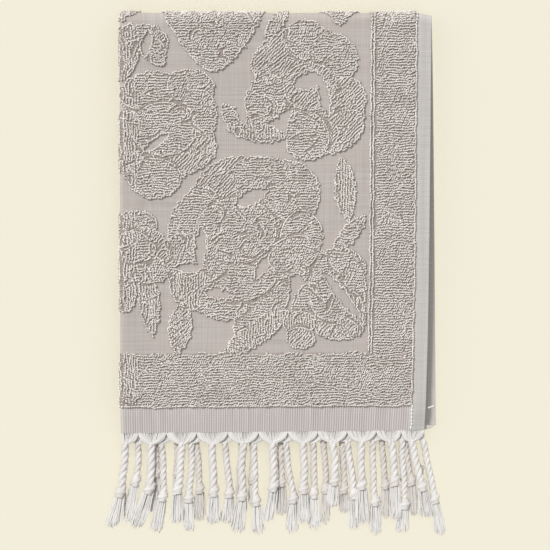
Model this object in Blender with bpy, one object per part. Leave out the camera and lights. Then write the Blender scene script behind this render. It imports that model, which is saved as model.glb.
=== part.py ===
"""Hand towel in sculpted cotton terry, folded in four, with a knotted fringe at both ends.

The cloth is one woven piece. Its side fold is on the left and its top fold at +Y, so that four
layers lie on each other: the outer front, the inner front, the inner back and the outer back.
Places on the cloth are given in two ways. "side" runs across the cloth from the side fold, positive
on the outer layers and negative on the inner ones, and "run" runs along it from its front end. The
finished towel is measured by "across", from its left edge, and "down", from its top edge.
"""

import math
from collections import namedtuple

import bmesh
import bpy
import numpy as np
from mathutils.geometry import delaunay_2d_cdt

MM = 0.001

# Cloth
CLOTH_WIDE = 457 * MM
FRONT_REACH = 312.4 * MM  # from the top fold down to the end of the front layers
BACK_REACH = 303.0 * MM  # the back layers are a little shorter
GROUND = 1.7 * MM  # thickness of the flat weave
PILE = 2.05 * MM  # height of the terry over it
SIDE_HEM = 10.4 * MM  # flat strip along each selvedge
END_BAND = 24.0 * MM  # flat ribbed band at each end
SIDE_BORDER = 31.4 * MM  # terry frame along the selvedge
END_BORDER = 40.2 * MM  # terry frame along the end band

# Fold
LAYER_GAP = 0.9 * MM  # air between the backs of two layers of a pair
SIDE_FOLD_RADIUS = 2.2 * MM
SIDE_FOLD_EASE = 20 * MM  # the pair closes up over this distance from the side fold
FRONT_LEVEL = 13.4 * MM  # middle of the front pair over the surface
FRONT_END_LEVEL = 8.4 * MM
BACK_LEVEL = 4.2 * MM
BACK_END_LEVEL = 2.7 * MM
END_CLOSE = 0.85  # a pair lies closer by this share at its flat ends
END_EASE = 27 * MM  # a pair sinks over this distance to the level of its end
TOP_FOLD_RADIUS = (FRONT_LEVEL - BACK_LEVEL) / 2

# Lie of the folded cloth
FRONT_TAPER = (3.4 * MM, 2.2 * MM)  # even and late narrowing of the front towards its end
FRONT_SHIFT = (0.4 * MM, 0.8 * MM)  # even and late move of its left edge
FRONT_SKEW = 2.2 * MM  # the end of the front rises this much to the right
BACK_SHIFT = 1.6 * MM
CORNER_DROP = 1.6 * MM  # the top fold is tighter in the flat hem
SIDE_DROOP = 0.16  # share of its height that the side hem sinks
# Soft waves in the height of the cloth: turns of each wave across and down, in radians for a metre,
# where it starts, and the share of its height by which it lifts the cloth.
Wave = namedtuple("Wave", "across down start share")
WAVES = (Wave(31, 17, 0.0, 0.027), Wave(-41, 23, 1.3, 0.019))
FLOOR_SNAP = 0.12 * MM

# Fringe
EDGE_GAP = 0.3 * MM
STRIP_THICK = 1.2 * MM
SCALLOP_LOW = 5.6 * MM
SCALLOP_HIGH = 1.6 * MM
SCALLOP_EASE = 8 * MM  # the scallop rises over this distance from a root
ROOT_HALF_WIDE = 1.3 * MM
SIDE_FOLD_COLUMNS = (-3.4 * MM, -1.7 * MM, 0.0, 1.7 * MM, 3.4 * MM)  # the strip bends at these sides
ROPE_START = 9 * MM  # below the edge, where the twist has its full size
TWIST_LENGTH = 9.4 * MM  # one whole turn of the two plies
TWIST_STEP = math.radians(72)
STRAND_CORNER = math.radians(30)

# The origin is under the middle of everything, on the surface.
ORIGIN_ACROSS = 114.1 * MM
ORIGIN_DOWN = 191.1 * MM

HALF_WIDE = CLOTH_WIDE / 2
HALF_GAP = (LAYER_GAP + GROUND) / 2
CREST_INSET = TOP_FOLD_RADIUS + HALF_GAP + GROUND / 2
EDGE_LEAD = 14 * MM  # the fold's path is known this far past each end
NOSE_STEPS, SECTION_STEPS = 30, 900  # points of the pair's section, round the side fold and beyond it
TURN_STEPS, PATH_STEPS = 60, 700  # points of the fold's path, round the top fold and along each half
NET_PITCH = 37 * MM  # sides of the flat cloth's triangles, about

# Terry motif of the front, in millimetres across and down. A petal or leaf is an oval: length and
# width are its halves, turn is the angle of its length below the horizontal, and point is 0 for a
# round end and up to 1 for a leaf's tips.
Oval = namedtuple("Oval", "across down length width turn point")
Bloom = namedtuple("Bloom", "across down petals")
BLOOMS = (
    Bloom(87, 165, (
        Oval(79, 125, 27, 17, -28, 0), Oval(106, 122, 24, 16, 12, 0), Oval(126, 131, 24, 21, 50, 0),
        Oval(134, 166, 21, 16, 95, 0), Oval(124, 180, 22, 14, 150, 0), Oval(54, 150, 25, 15, -55, 0),
        Oval(47, 180, 19, 16, 100, 0), Oval(54, 203, 18, 15, 30, 0), Oval(76, 214, 19, 12, 8, 0),
        Oval(92, 196, 24, 16, -10, 0), Oval(86, 160, 30, 24, 0, 0),
    )),
    Bloom(136, 58, (
        Oval(116, 33, 22, 15, -38, 0), Oval(137, 21, 17, 15, 20, 0), Oval(158, 33, 19, 16, 50, 0),
        Oval(166, 66, 18, 15, 100, 0), Oval(163, 88, 20, 13, 140, 0), Oval(137, 91, 19, 17, 60, 0),
        Oval(107, 66, 21, 15, 105, 0), Oval(140, 55, 20, 18, 0, 0),
    )),
    Bloom(30, 88, (
        Oval(22, 58, 22, 14, -12, 0), Oval(53, 55, 18, 13, 5, 0), Oval(58, 78, 21, 14, 95, 0),
        Oval(54, 105, 20, 12, -30, 0), Oval(26, 122, 20, 15, 0, 0), Oval(6, 96, 24, 14, 90, 0),
        Oval(33, 86, 24, 20, 0, 0),
    )),
    Bloom(158, 201, (
        Oval(148, 186, 16, 10, -28, 0), Oval(168, 184, 15, 10, 30, 0), Oval(174, 200, 17, 8, 82, 0),
        Oval(174, 222, 17, 8, 84, 0), Oval(160, 232, 17, 9, 5, 0), Oval(137, 214, 17, 9, 110, 0),
        Oval(156, 212, 16, 15, 40, 0),
    )),
    Bloom(14, 171, (
        Oval(11, 157, 17, 12, -10, 0), Oval(24, 172, 16, 12, 50, 0), Oval(20, 188, 17, 11, 10, 0),
        Oval(2, 178, 20, 9, 90, 0), Oval(10, 172, 13, 12, 0, 0),
    )),
    Bloom(133, 233, (
        Oval(133, 228, 12, 9, 0, 0), Oval(134, 239, 11, 8, 10, 0),
    )),
    Bloom(12, 27, (
        Oval(24, 20, 14, 9, 35, 0), Oval(28, 31, 11, 7, 80, 0), Oval(4, 30, 22, 11, 105, 0),
        Oval(14, 18, 13, 8, -20, 0),
    )),
)
LEAVES = (
    Oval(105, 219, 37, 16, 120, 0.55),
    Oval(45, 231, 19, 9, 97, 0.5),
    Oval(22, 212, 28, 8, 84, 0.9),
    Oval(4, 206, 14, 9, 90, 0.1),
    Oval(166, 130, 25, 8, 84, 0.6),
    Oval(169, 163, 19, 6.5, 130, 0.6),
    Oval(101, 88, 23, 7, 8, 0.3),
    Oval(81, 76, 10, 6, 60, 0.3),
    Oval(115, 9, 14, 5, -50, 0.5),
    Oval(5, 3, 12, 3.5, -18, 0.5),
    Oval(101, 235, 30, 9, 147, 0.7),
)
GAPS = (
    Oval(97, 136, 13, 5, -25, 0.8),
    Oval(60, 172, 15, 4, 92, 0.8),
    Oval(52, 187, 12, 3.2, 178, 0.9),
    Oval(73, 206, 11, 3.4, 5, 0.8),
    Oval(105, 187, 9, 3.6, 118, 0.8),
    Oval(138, 51, 11, 6, -15, 0.4),
    Oval(150, 62, 14, 3.6, 78, 0.9),
    Oval(164, 208, 24, 3.6, 52, 0.9),
    Oval(27, 96, 11, 2.6, -35, 0.9),
    Oval(20, 24, 10, 3, 100, 0.8),
)
# Buds are three-cornered, hanging from a flat side: halves of that side, and how far they reach down.
Bud = namedtuple("Bud", "across down half_wide reach fullness")
BUDS = (
    Bud(69, -9, 42, 53, 0.42),
    Bud(161, -8, 24, 18, 0.1),
)

# Tassels, in millimetres. One row for each: where it leaves the edge, its knot, and its loose end.
Tassel = namedtuple("Tassel", "root knot knot_down tail tail_down spread")
OUTER_FRONT = (
    Tassel(4.4, 0.8, 352.0, -6.4, 378.5, 4.9), Tassel(23.4, 22.3, 349.5, 11.2, 379.0, 4.4),
    Tassel(45.3, 42.4, 349.5, 41.2, 376.0, 4.0), Tassel(67.8, 68.7, 351.5, 67.5, 376.0, 4.2),
    Tassel(90.9, 89.9, 354.5, 86.0, 382.5, 4.6), Tassel(112.4, 112.8, 348.0, 108.4, 374.0, 3.6),
    Tassel(134.2, 134.2, 349.5, 135.4, 376.0, 3.4), Tassel(156.0, 157.5, 343.5, 155.6, 363.5, 3.4),
    Tassel(177.0, 177.0, 346.5, 178.4, 376.0, 4.6), Tassel(198.8, 201.2, 343.5, 202.6, 373.0, 3.2),
    Tassel(213.6, 220.9, 347.5, 225.4, 371.0, 5.0),
)
INNER_FRONT = (
    Tassel(13.4, 11.6, 344.5, 4.8, 375.0, 3.6), Tassel(30.4, 31.6, 355.5, 25.6, 383.0, 4.0),
    Tassel(52.6, 50.2, 356.5, 50.4, 382.0, 3.4), Tassel(76.6, 80.2, 353.0, 77.8, 376.0, 4.4),
    Tassel(98.6, 99.4, 359.0, 101.4, 384.0, 4.0), Tassel(121.4, 127.2, 357.0, 125.4, 383.0, 4.2),
    Tassel(141.6, 142.0, 353.5, 142.6, 381.0, 3.8), Tassel(166.4, 171.4, 354.0, 171.2, 381.0, 3.2),
    Tassel(186.2, 187.0, 359.0, 187.8, 384.5, 3.8), Tassel(207.4, 209.4, 361.5, 206.4, 382.5, 4.2),
    Tassel(222.4, 230.6, 357.0, 235.6, 384.5, 3.8),
)
INNER_BACK = (
    Tassel(17.8, 17.5, 331.0, 17.5, 362.0, 2.2), Tassel(36.4, 36.7, 340.0, 36.9, 366.0, 2.0),
    Tassel(58.6, 58.8, 343.0, 57.6, 372.0, 3.4), Tassel(82.8, 84.6, 334.0, 85.6, 358.0, 1.8),
    Tassel(104.6, 105.8, 342.0, 106.0, 363.0, 2.4), Tassel(117.0, 118.4, 343.0, 118.6, 368.0, 2.6),
    Tassel(148.0, 150.6, 350.0, 150.2, 376.0, 3.4), Tassel(162.6, 164.4, 350.0, 163.8, 368.0, 2.6),
    Tassel(192.6, 194.6, 347.0, 195.6, 372.0, 3.4), Tassel(209.8, 214.0, 344.0, 215.6, 370.0, 2.4),
)
UNDER_LEAD = 12 * MM  # a tassel under one of the front is this much shorter

# Strands of each layer, in millimetres: radius of the twisted part, halves of the knot and of the
# tail's thickness, and how high the twisted part, the knot and the loose end lie over the surface.
Strand = namedtuple("Strand", "radius knot_wide knot_thick tail_thick rope_lift knot_lift tail_lift")
STRANDS = {
    "outer_front": Strand(2.7, 3.8, 2.8, 1.1, 4.0, 3.1, 2.3),
    "inner_front": Strand(2.1, 3.1, 2.4, 1.0, 0.0, 0.0, 0.0),
    "inner_back": Strand(2.0, 2.8, 2.2, 0.9, 0.0, 0.0, 0.0),
    "outer_back": Strand(1.6, 2.6, 1.35, 0.7, 0.0, 0.0, 0.0),
}


def smooth(value):
    """Eases from 0 to 1."""
    value = np.clip(value, 0.0, 1.0)
    return value * value * (3.0 - 2.0 * value)


def lengths_along(*coordinates):
    """Distance along a polyline at each of its points."""
    steps = np.sqrt(sum(np.diff(c) ** 2 for c in coordinates))
    return np.concatenate(([0.0], np.cumsum(steps)))


def pair_section():
    """Middle of the outer layer of a pair, from the side fold: length, across, offset."""
    nose = np.linspace(0.0, math.pi / 2, NOSE_STEPS)
    beyond = np.linspace(0.0, CLOTH_WIDE, SECTION_STEPS)[1:]
    offset = SIDE_FOLD_RADIUS + (HALF_GAP - SIDE_FOLD_RADIUS) * smooth(beyond / SIDE_FOLD_EASE)
    across = np.concatenate((SIDE_FOLD_RADIUS * (1 - np.cos(nose)), SIDE_FOLD_RADIUS + beyond))
    offset = np.concatenate((SIDE_FOLD_RADIUS * np.sin(nose), offset))
    return lengths_along(across, offset), across + GROUND / 2, offset


def fold_path():
    """Middle of a pair from the front end over the top fold to the back end: length, down, level."""
    front = np.linspace(FRONT_REACH + EDGE_LEAD, CREST_INSET, PATH_STEPS)
    rise = smooth((FRONT_REACH - front) / END_EASE)
    front_level = FRONT_END_LEVEL + (FRONT_LEVEL - FRONT_END_LEVEL) * rise
    turn = np.linspace(math.pi / 2, -math.pi / 2, TURN_STEPS)[1:]
    middle = (FRONT_LEVEL + BACK_LEVEL) / 2
    back = np.linspace(CREST_INSET, BACK_REACH + EDGE_LEAD, PATH_STEPS)[1:]
    rise = smooth((BACK_REACH - back) / END_EASE)
    back_level = BACK_END_LEVEL + (BACK_LEVEL - BACK_END_LEVEL) * rise
    down = np.concatenate((front, CREST_INSET - TOP_FOLD_RADIUS * np.cos(turn), back))
    level = np.concatenate((front_level, middle + TOP_FOLD_RADIUS * np.sin(turn), back_level))
    return lengths_along(down, level) - EDGE_LEAD, down, level


SECTION = pair_section()
PATH = fold_path()
CLOTH_LONG = PATH[0][-1] - EDGE_LEAD
CREST_RUN = PATH[0][PATH_STEPS - 1] + math.pi / 2 * TOP_FOLD_RADIUS


def table_point(table, length):
    """Point of a (length, a, b) table and its unit direction there."""
    step = 0.05 * MM
    point = [np.interp(length, table[0], column) for column in table[1:]]
    ahead = [np.interp(length + step, table[0], column) for column in table[1:]]
    behind = [np.interp(length - step, table[0], column) for column in table[1:]]
    way = [a - b for a, b in zip(ahead, behind)]
    size = np.hypot(*way)
    return point, [w / size for w in way]


def lie(across, down, level, run, side):
    """The folded cloth's own unevenness: taper, skew, drooping hem and soft waves."""
    front = 1.0 - smooth((run - CREST_RUN) / (math.pi * TOP_FOLD_RADIUS) + 0.5)
    share = np.clip(down, 0.0, None) / FRONT_REACH
    narrow = FRONT_TAPER[0] * share + FRONT_TAPER[1] * share**6
    shift = FRONT_SHIFT[0] * share + FRONT_SHIFT[1] * share**8
    wide = across / HALF_WIDE
    near_edge = smooth((np.abs(side) - HALF_WIDE + SIDE_HEM) / SIDE_HEM)
    new_across = across + front * (shift - narrow * wide) + (1 - front) * BACK_SHIFT * share
    new_down = down - front * FRONT_SKEW * wide * share**2
    new_down = new_down + CORNER_DROP * near_edge * np.exp(-np.clip(down, 0, None) / (6 * MM))
    lift = sum(w.share * np.sin(w.across * across + w.down * down + w.start) for w in WAVES)
    new_level = level * (1 + lift) * (1 - SIDE_DROOP * near_edge)
    return new_across, new_down, new_level


def cloth_point(side, run, height):
    """Place of a point of the cloth, at a height over its middle on the face side, as x, y, z."""
    side = np.asarray(side, dtype=float)
    run = np.asarray(run, dtype=float)
    layer = np.where(side < 0, -1.0, 1.0)
    (across, offset), (along, aside) = table_point(SECTION, np.abs(side))
    nose = np.abs(side) < 0.06 * MM
    along, aside = np.where(nose, 0.0, along), np.where(nose, 1.0, aside)
    from_end = np.minimum(run, CLOTH_LONG - run)
    offset = offset * (END_CLOSE + (1 - END_CLOSE) * smooth(from_end / END_EASE))
    across = across - height * aside
    offset = layer * (offset + height * along)
    (down, level), (fall, climb) = table_point(PATH, run)
    down = down + offset * climb
    level = level - offset * fall
    across, down, level = lie(across, down, level, run, side)
    return across - ORIGIN_ACROSS, ORIGIN_DOWN - down, level


def oval_outline(oval, count):
    """Closed outline of a petal, leaf or gap, in metres across and down."""
    angle = np.linspace(0.0, 2 * math.pi, count, endpoint=False)
    taper = 1.0 - oval.point * np.abs(np.cos(angle)) ** 3
    along, aside = oval.length * np.cos(angle), oval.width * np.sin(angle) * taper
    turn = math.radians(oval.turn)
    across = oval.across + along * math.cos(turn) - aside * math.sin(turn)
    down = oval.down + along * math.sin(turn) + aside * math.cos(turn)
    return np.stack((across, down), axis=1) * MM


def bloom_outline(bloom, count):
    """Outer line of a bloom: on each ray from its heart, the farthest edge of its petals."""
    angle = np.linspace(0.0, 2 * math.pi, count, endpoint=False)
    reach = np.full(count, 4.0)
    for petal in bloom.petals:
        turn = math.radians(petal.turn)
        start_x, start_y = bloom.across - petal.across, bloom.down - petal.down
        scale_x, scale_y = 1 / petal.length, 1 / petal.width
        ox = (start_x * math.cos(turn) + start_y * math.sin(turn)) * scale_x
        oy = (start_y * math.cos(turn) - start_x * math.sin(turn)) * scale_y
        dx = np.cos(angle - turn) * scale_x
        dy = np.sin(angle - turn) * scale_y
        a, b, c = dx * dx + dy * dy, ox * dx + oy * dy, ox * ox + oy * oy - 1
        inside = b * b - a * c
        far = (-b + np.sqrt(np.clip(inside, 0, None))) / a
        reach = np.where((inside > 0) & (far > reach), far, reach)
    reach = np.minimum(reach, 0.5 * (np.roll(reach, 1) + np.roll(reach, -1)) + 3.0)
    across = bloom.across + reach * np.cos(angle)
    down = bloom.down + reach * np.sin(angle)
    return np.stack((across, down), axis=1) * MM


def bud_outline(bud, count):
    """Three-cornered bud: a flat side at the top, and full sides that meet at a tip."""
    part = np.linspace(0.0, 1.0, count)
    half = bud.half_wide * (1 - part) ** (1 - bud.fullness)
    half[-1] = 0.0
    down = bud.down + bud.reach * part
    right = np.stack((bud.across + half, down), axis=1)
    left = np.stack((bud.across - half, down), axis=1)[::-1]
    return np.concatenate((right, left[1:])) * MM


def box_outline(side_low, side_high, run_low, run_high):
    """A rectangle of the cloth, in side and run."""
    return np.array((
        (side_low, run_low), (side_high, run_low), (side_high, run_high), (side_low, run_high),
    ))


def on_front(outline):
    """Moves an outline from across and down on the front to side and run on the cloth."""
    return np.stack((outline[:, 0], CREST_RUN - outline[:, 1]), axis=1)[::-1]


def pile_outlines():
    """Outlines of all terry on the face of the cloth, and of the bare ground within it."""
    selvedge = HALF_WIDE - SIDE_HEM
    inner = selvedge - SIDE_BORDER
    frame_top = END_BAND + END_BORDER
    fold_clear = 16 * MM
    pair_clear = 18 * MM
    nose_clear = 1.15 * MM
    behind = CREST_RUN + fold_clear
    raised = [on_front(bloom_outline(bloom, 44)) for bloom in BLOOMS]
    raised += [on_front(oval_outline(leaf, 18)) for leaf in LEAVES]
    raised += [on_front(bud_outline(bud, 7)) for bud in BUDS]
    raised.append(np.array((
        (-pair_clear, END_BAND), (selvedge, END_BAND), (selvedge, CLOTH_LONG - END_BAND),
        (-nose_clear, CLOTH_LONG - END_BAND), (-nose_clear, behind), (inner, behind),
        (inner, frame_top), (-pair_clear, frame_top),
    )))
    raised.append(box_outline(-selvedge, -pair_clear, END_BAND, CREST_RUN - fold_clear))
    raised.append(box_outline(-selvedge, -pair_clear, behind, CLOTH_LONG - END_BAND))
    bare = [on_front(oval_outline(gap, 14)) for gap in GAPS]
    bare.append(box_outline(-pair_clear, -nose_clear, 0.5 * END_BAND, CLOTH_LONG - 0.5 * END_BAND))
    return raised, bare


def bend_lines():
    """Sides and runs at which the cloth bends and needs edges."""
    close = [0.0, 1.15 * MM, 2.3 * MM, 3.5 * MM, 7 * MM, 13 * MM, 22 * MM]
    hem = [HALF_WIDE, HALF_WIDE - 0.5 * SIDE_HEM, HALF_WIDE - SIDE_HEM]
    sides = sorted({s * sign for s in close + hem for sign in (-1, 1)})
    fold = [CREST_RUN + TOP_FOLD_RADIUS * math.pi * step / 8 for step in range(-4, 5)]
    ends = [END_EASE * step / 4 for step in range(5)]
    runs = sorted(fold + ends + [CLOTH_LONG - end for end in ends])
    return sides, runs


def spread_between(low, high):
    """Evenly spaced values between two lines of the net."""
    count = max(1, round((high - low) / NET_PITCH))
    return [low + (high - low) * step / count for step in range(1, count)]


def net(raised, bare):
    """Triangulates the flat cloth along its bends and the outlines given.

    Returns points, triangles and, for each triangle, whether it carries terry.
    """
    sides, runs = bend_lines()
    points, edges, faces = [], [], []

    def add(point):
        points.append((float(point[0]), float(point[1])))
        return len(points) - 1

    for side in sides:
        edges.append((add((side, 0.0)), add((side, CLOTH_LONG))))
    for run in runs:
        edges.append((add((-HALF_WIDE, run)), add((HALF_WIDE, run))))
    wide = [side for low, high in zip(sides, sides[1:]) for side in spread_between(low, high)]
    long = [run for low, high in zip(runs, runs[1:]) for run in spread_between(low, high)]
    for side in sides + wide:
        for run in runs + long:
            add((side, run))
    for outline in raised + bare:
        faces.append([add(point) for point in outline])
    first_bare = len(raised)
    made = delaunay_2d_cdt(points, edges, faces, 0, 1e-6, True)
    places = np.array([(p[0], p[1]) for p in made[0]])
    pile = [any(f < first_bare for f in owners) and not any(f >= first_bare for f in owners)
            for owners in made[5]]
    return places, made[2], pile


def boundary_loop(places):
    """Indices of the points on the cut edge of the cloth, in order round it."""
    near = 1e-6
    front = np.flatnonzero(np.abs(places[:, 1]) < near)
    right = np.flatnonzero(np.abs(places[:, 0] - HALF_WIDE) < near)
    back = np.flatnonzero(np.abs(places[:, 1] - CLOTH_LONG) < near)
    left = np.flatnonzero(np.abs(places[:, 0] + HALF_WIDE) < near)
    sides = (
        front[np.argsort(places[front, 0])], right[np.argsort(places[right, 1])],
        back[np.argsort(-places[back, 0])], left[np.argsort(-places[left, 1])],
    )
    return [index for side in sides for index in side[:-1]]


def towel_mesh():
    """The whole cloth as one closed solid: face with raised terry, back, and cut edge."""
    face, triangles, pile = net(*pile_outlines())
    back, back_triangles, _ = net([], [])
    mesh = bmesh.new()

    def add_points(places, height):
        rows = np.stack(cloth_point(places[:, 0], places[:, 1], height), axis=1)
        rows[:, 2] = np.where(rows[:, 2] < FLOOR_SNAP, 0.0, rows[:, 2])
        return [mesh.verts.new(row) for row in rows]

    low = add_points(face, GROUND / 2)
    under = add_points(back, -GROUND / 2)
    raised = sorted({index for tri, up in zip(triangles, pile) if up for index in tri})
    high = dict(zip(raised, add_points(face[raised], GROUND / 2 + PILE)))
    walls = {}
    for tri, up in zip(triangles, pile):
        corners = [high[i] if up else low[i] for i in tri]
        mesh.faces.new(corners)
        if up:
            for a, b in zip(tri, tri[1:] + tri[:1]):
                walls[(a, b)] = True
    for a, b in walls:
        if (b, a) not in walls:
            mesh.faces.new((high[b], high[a], low[a]))
            mesh.faces.new((high[b], low[a], low[b]))
    for tri in back_triangles:
        mesh.faces.new([under[i] for i in reversed(tri)])
    rim, under_rim = boundary_loop(face), boundary_loop(back)
    for k in range(len(rim)):
        a, b = k, (k + 1) % len(rim)
        mesh.faces.new((low[rim[b]], low[rim[a]], under[under_rim[a]]))
        mesh.faces.new((low[rim[b]], under[under_rim[a]], under[under_rim[b]]))
    loose = [v for v in mesh.verts if not v.link_faces]
    bmesh.ops.delete(mesh, geom=loose, context="VERTS")
    return mesh


def root_side(row, outer, front):
    """Distance from the side fold, along the cloth, at which a tassel leaves its edge."""
    across = row.root * MM
    if front:
        across = (across - sum(FRONT_SHIFT)) * HALF_WIDE / (HALF_WIDE - sum(FRONT_TAPER))
    else:
        across = across - BACK_SHIFT
    return across if outer else -across


def add_strip(mesh, roots, front):
    """Scalloped strip along an end: the warp ends gathered towards each tassel's root.

    Returns the four corners left open for each root, by the root's distance from the side fold.
    """
    ends = sorted(roots)
    columns = [-HALF_WIDE, HALF_WIDE]
    for low, high in zip(ends, ends[1:]):
        columns += [low + share * (high - low) for share in (0.33, 0.5, 0.67)]
    columns += [bend for bend in SIDE_FOLD_COLUMNS
                if min(abs(bend - c) for c in columns + ends) > 1.1 * ROOT_HALF_WIDE]
    columns += [end + shift for end in ends for shift in (-ROOT_HALF_WIDE, ROOT_HALF_WIDE)]
    columns = np.array(sorted(columns))
    far = np.min(np.abs(columns[:, None] - np.array(ends)[None, :]), axis=1) - ROOT_HALF_WIDE
    depth = SCALLOP_HIGH + (SCALLOP_LOW - SCALLOP_HIGH) * (1 - smooth(far / SCALLOP_EASE))
    rings = []
    for reach, height in ((0, 0.5), (1, 0.5), (1, -0.5), (0, -0.5)):
        beyond = depth if reach else np.full(len(columns), EDGE_GAP)
        run = -beyond if front else CLOTH_LONG + beyond
        rows = np.stack(cloth_point(columns, run, height * STRIP_THICK), axis=1)
        rings.append([mesh.verts.new(row) for row in rows])
    open_at = {int(np.argmin(np.abs(columns - end + ROOT_HALF_WIDE))): end for end in ends}
    corners = {}
    for k in range(len(columns) - 1):
        for low, high in zip(rings, rings[1:] + rings[:1]):
            if low is rings[1] and k in open_at:
                corners[open_at[k]] = (low[k], low[k + 1], high[k + 1], high[k])
                continue
            mesh.faces.new((low[k], low[k + 1], high[k + 1], high[k]))
    for k in (0, -1):
        mesh.faces.new([ring[k] for ring in rings])
    return corners


def ring_of(centre, way, half_wide, half_thick, twist):
    """Four corners of a strand's cross-section, upright and square to its way, with its twist."""
    aside = np.array((way[1], -way[0], 0.0)) / np.hypot(way[0], way[1])
    corners = []
    for wide, thick in ((1, 1), (-1, 1), (-1, -1), (1, -1)):
        x, z = wide * half_wide, thick * half_thick
        u = x * math.cos(twist) - z * math.sin(twist)
        v = x * math.sin(twist) + z * math.cos(twist)
        corners.append(centre + u * aside + np.array((0.0, 0.0, v)))
    return corners


def nearest_turn(ring, following):
    """The next ring, started at the corner that faces the first corner of this one."""
    def gap(shift):
        return sum((following[(i + shift) % 4].co - ring[i].co).length for i in range(4))
    shift = min(range(4), key=gap)
    return following[shift:] + following[:shift]


def add_tassel(mesh, row, strand, root, edge_down):
    """One tassel on its open root: two plies twisted together, a knot and a loose end."""
    radius, knot_wide, knot_thick, tail_thick, *lifts = (value * MM for value in strand)
    start = np.mean([corner.co for corner in root], axis=0)
    knot = np.array((row.knot * MM - ORIGIN_ACROSS, ORIGIN_DOWN - row.knot_down * MM + knot_wide,
                     lifts[1] + knot_thick))
    end = np.array((row.tail * MM - ORIGIN_ACROSS, ORIGIN_DOWN - row.tail_down * MM,
                    lifts[2] + tail_thick))
    first_y = ORIGIN_DOWN - edge_down - ROPE_START
    share = (first_y - start[1]) / (knot[1] - start[1])
    first = np.array((start[0] + (knot[0] - start[0]) * share, first_y, lifts[0] + radius))
    last = np.array((knot[0], knot[1], lifts[1] + radius))
    lean = (end[0] - knot[0]) / (end[1] - knot[1])
    below = knot - 2.0 * knot_wide * np.array((lean, 1.0, 0.0))
    mouth = np.array((below[0], below[1], lifts[1] + tail_thick * 1.3))
    half_wide, half_thick = radius * math.cos(STRAND_CORNER), radius * math.sin(STRAND_CORNER)
    step_length = TWIST_LENGTH * TWIST_STEP / (2 * math.pi)
    steps = max(4, round(float(np.linalg.norm(last - first)) / step_length))
    spread = row.spread * MM
    neck = knot_wide * 0.6
    plan = [(first + (last - first) * k / steps, half_wide, half_thick, k * TWIST_STEP)
            for k in range(steps + 1)]
    plan += [
        (knot + (below - knot) * 0.25, knot_wide, knot_thick, 0.0),
        (knot + (below - knot) * 0.7, knot_wide, knot_thick, 0.0),
        (mouth, neck, tail_thick * 1.3, 0.0),
        (mouth + (end - mouth) * 0.45, 0.5 * (spread + neck), tail_thick, 0.0),
        (end, spread, tail_thick, 0.0),
    ]
    left_first = sorted(root, key=lambda corner: corner.co.x)
    left = sorted(left_first[:2], key=lambda corner: corner.co.z)
    right = sorted(left_first[2:], key=lambda corner: corner.co.z)
    ring = [left[1], right[1], right[0], left[0]]
    for k, (centre, wide, thick, twist) in enumerate(plan):
        before, after = plan[max(k - 1, 0)][0], plan[min(k + 1, len(plan) - 1)][0]
        following = [mesh.verts.new(c) for c in ring_of(centre, after - before, wide, thick, twist)]
        if k == 0 or k > steps:
            following = nearest_turn(ring, following)
        for i in range(4):
            j = (i + 1) % 4
            mesh.faces.new((ring[i], ring[j], following[i]))
            mesh.faces.new((ring[j], following[j], following[i]))
        ring = following
    mesh.faces.new(ring)


def cotton(name, colour, roughness):
    material = bpy.data.materials.new(name)
    material.use_nodes = True
    shader = material.node_tree.nodes["Principled BSDF"]
    shader.inputs["Base Color"].default_value = (*colour, 1.0)
    shader.inputs["Roughness"].default_value = roughness
    shader.inputs["Metallic"].default_value = 0.0
    return material


def place(name, mesh, material, collection):
    """Makes an object of a bmesh, in a collection."""
    data = bpy.data.meshes.new(name)
    bmesh.ops.triangulate(mesh, faces=[f for f in mesh.faces if len(f.verts) > 3])
    mesh.to_mesh(data)
    mesh.free()
    data.materials.append(material)
    thing = bpy.data.objects.new(name, data)
    collection.objects.link(thing)
    return thing


def fringe_mesh(outer_rows, inner_rows, strands, front):
    """An end's strip with the tassels of its outer and its inner layer growing from it."""
    edge_down = FRONT_REACH if front else BACK_REACH
    rows = {root_side(row, True, front): (row, strands[0]) for row in outer_rows}
    rows.update({root_side(row, False, front): (row, strands[1]) for row in inner_rows})
    mesh = bmesh.new()
    corners = add_strip(mesh, rows, front)
    for side, (row, strand) in rows.items():
        add_tassel(mesh, row, STRANDS[strand], corners[side], edge_down)
    bmesh.ops.recalc_face_normals(mesh, faces=mesh.faces)
    return mesh


def shortened(rows):
    """Rows for the straight, slighter tassels that lie under those of the outer front."""
    lead = UNDER_LEAD / MM
    return [row._replace(knot_down=row.knot_down - lead, tail=row.knot, tail_down=row.tail_down - lead,
                         spread=0.5 * row.spread) for row in rows]


for old in list(bpy.data.objects):
    bpy.data.objects.remove(old)

towel = bpy.data.collections.new("folded_hand_towel")
bpy.context.scene.collection.children.link(towel)
greige = cotton("greige_cotton_terry", (0.44, 0.39, 0.36), 0.95)
undyed = cotton("undyed_cotton_yarn", (0.77, 0.74, 0.70), 0.9)
front_fringe = fringe_mesh(OUTER_FRONT, INNER_FRONT, ("outer_front", "inner_front"), True)
back_fringe = fringe_mesh(shortened(OUTER_FRONT), INNER_BACK, ("outer_back", "inner_back"), False)
place("towel_cloth", towel_mesh(), greige, towel)
place("fringe_front_end", front_fringe, undyed, towel)
place("fringe_back_end", back_fringe, undyed, towel)
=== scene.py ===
"""Looks of the folded hand towel: woven ground, terry loops, hems and twisted, knotted fringe."""

import math
from collections import namedtuple

import bmesh
import bpy
import numpy as np
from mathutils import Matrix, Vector
from mathutils.kdtree import KDTree


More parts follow.
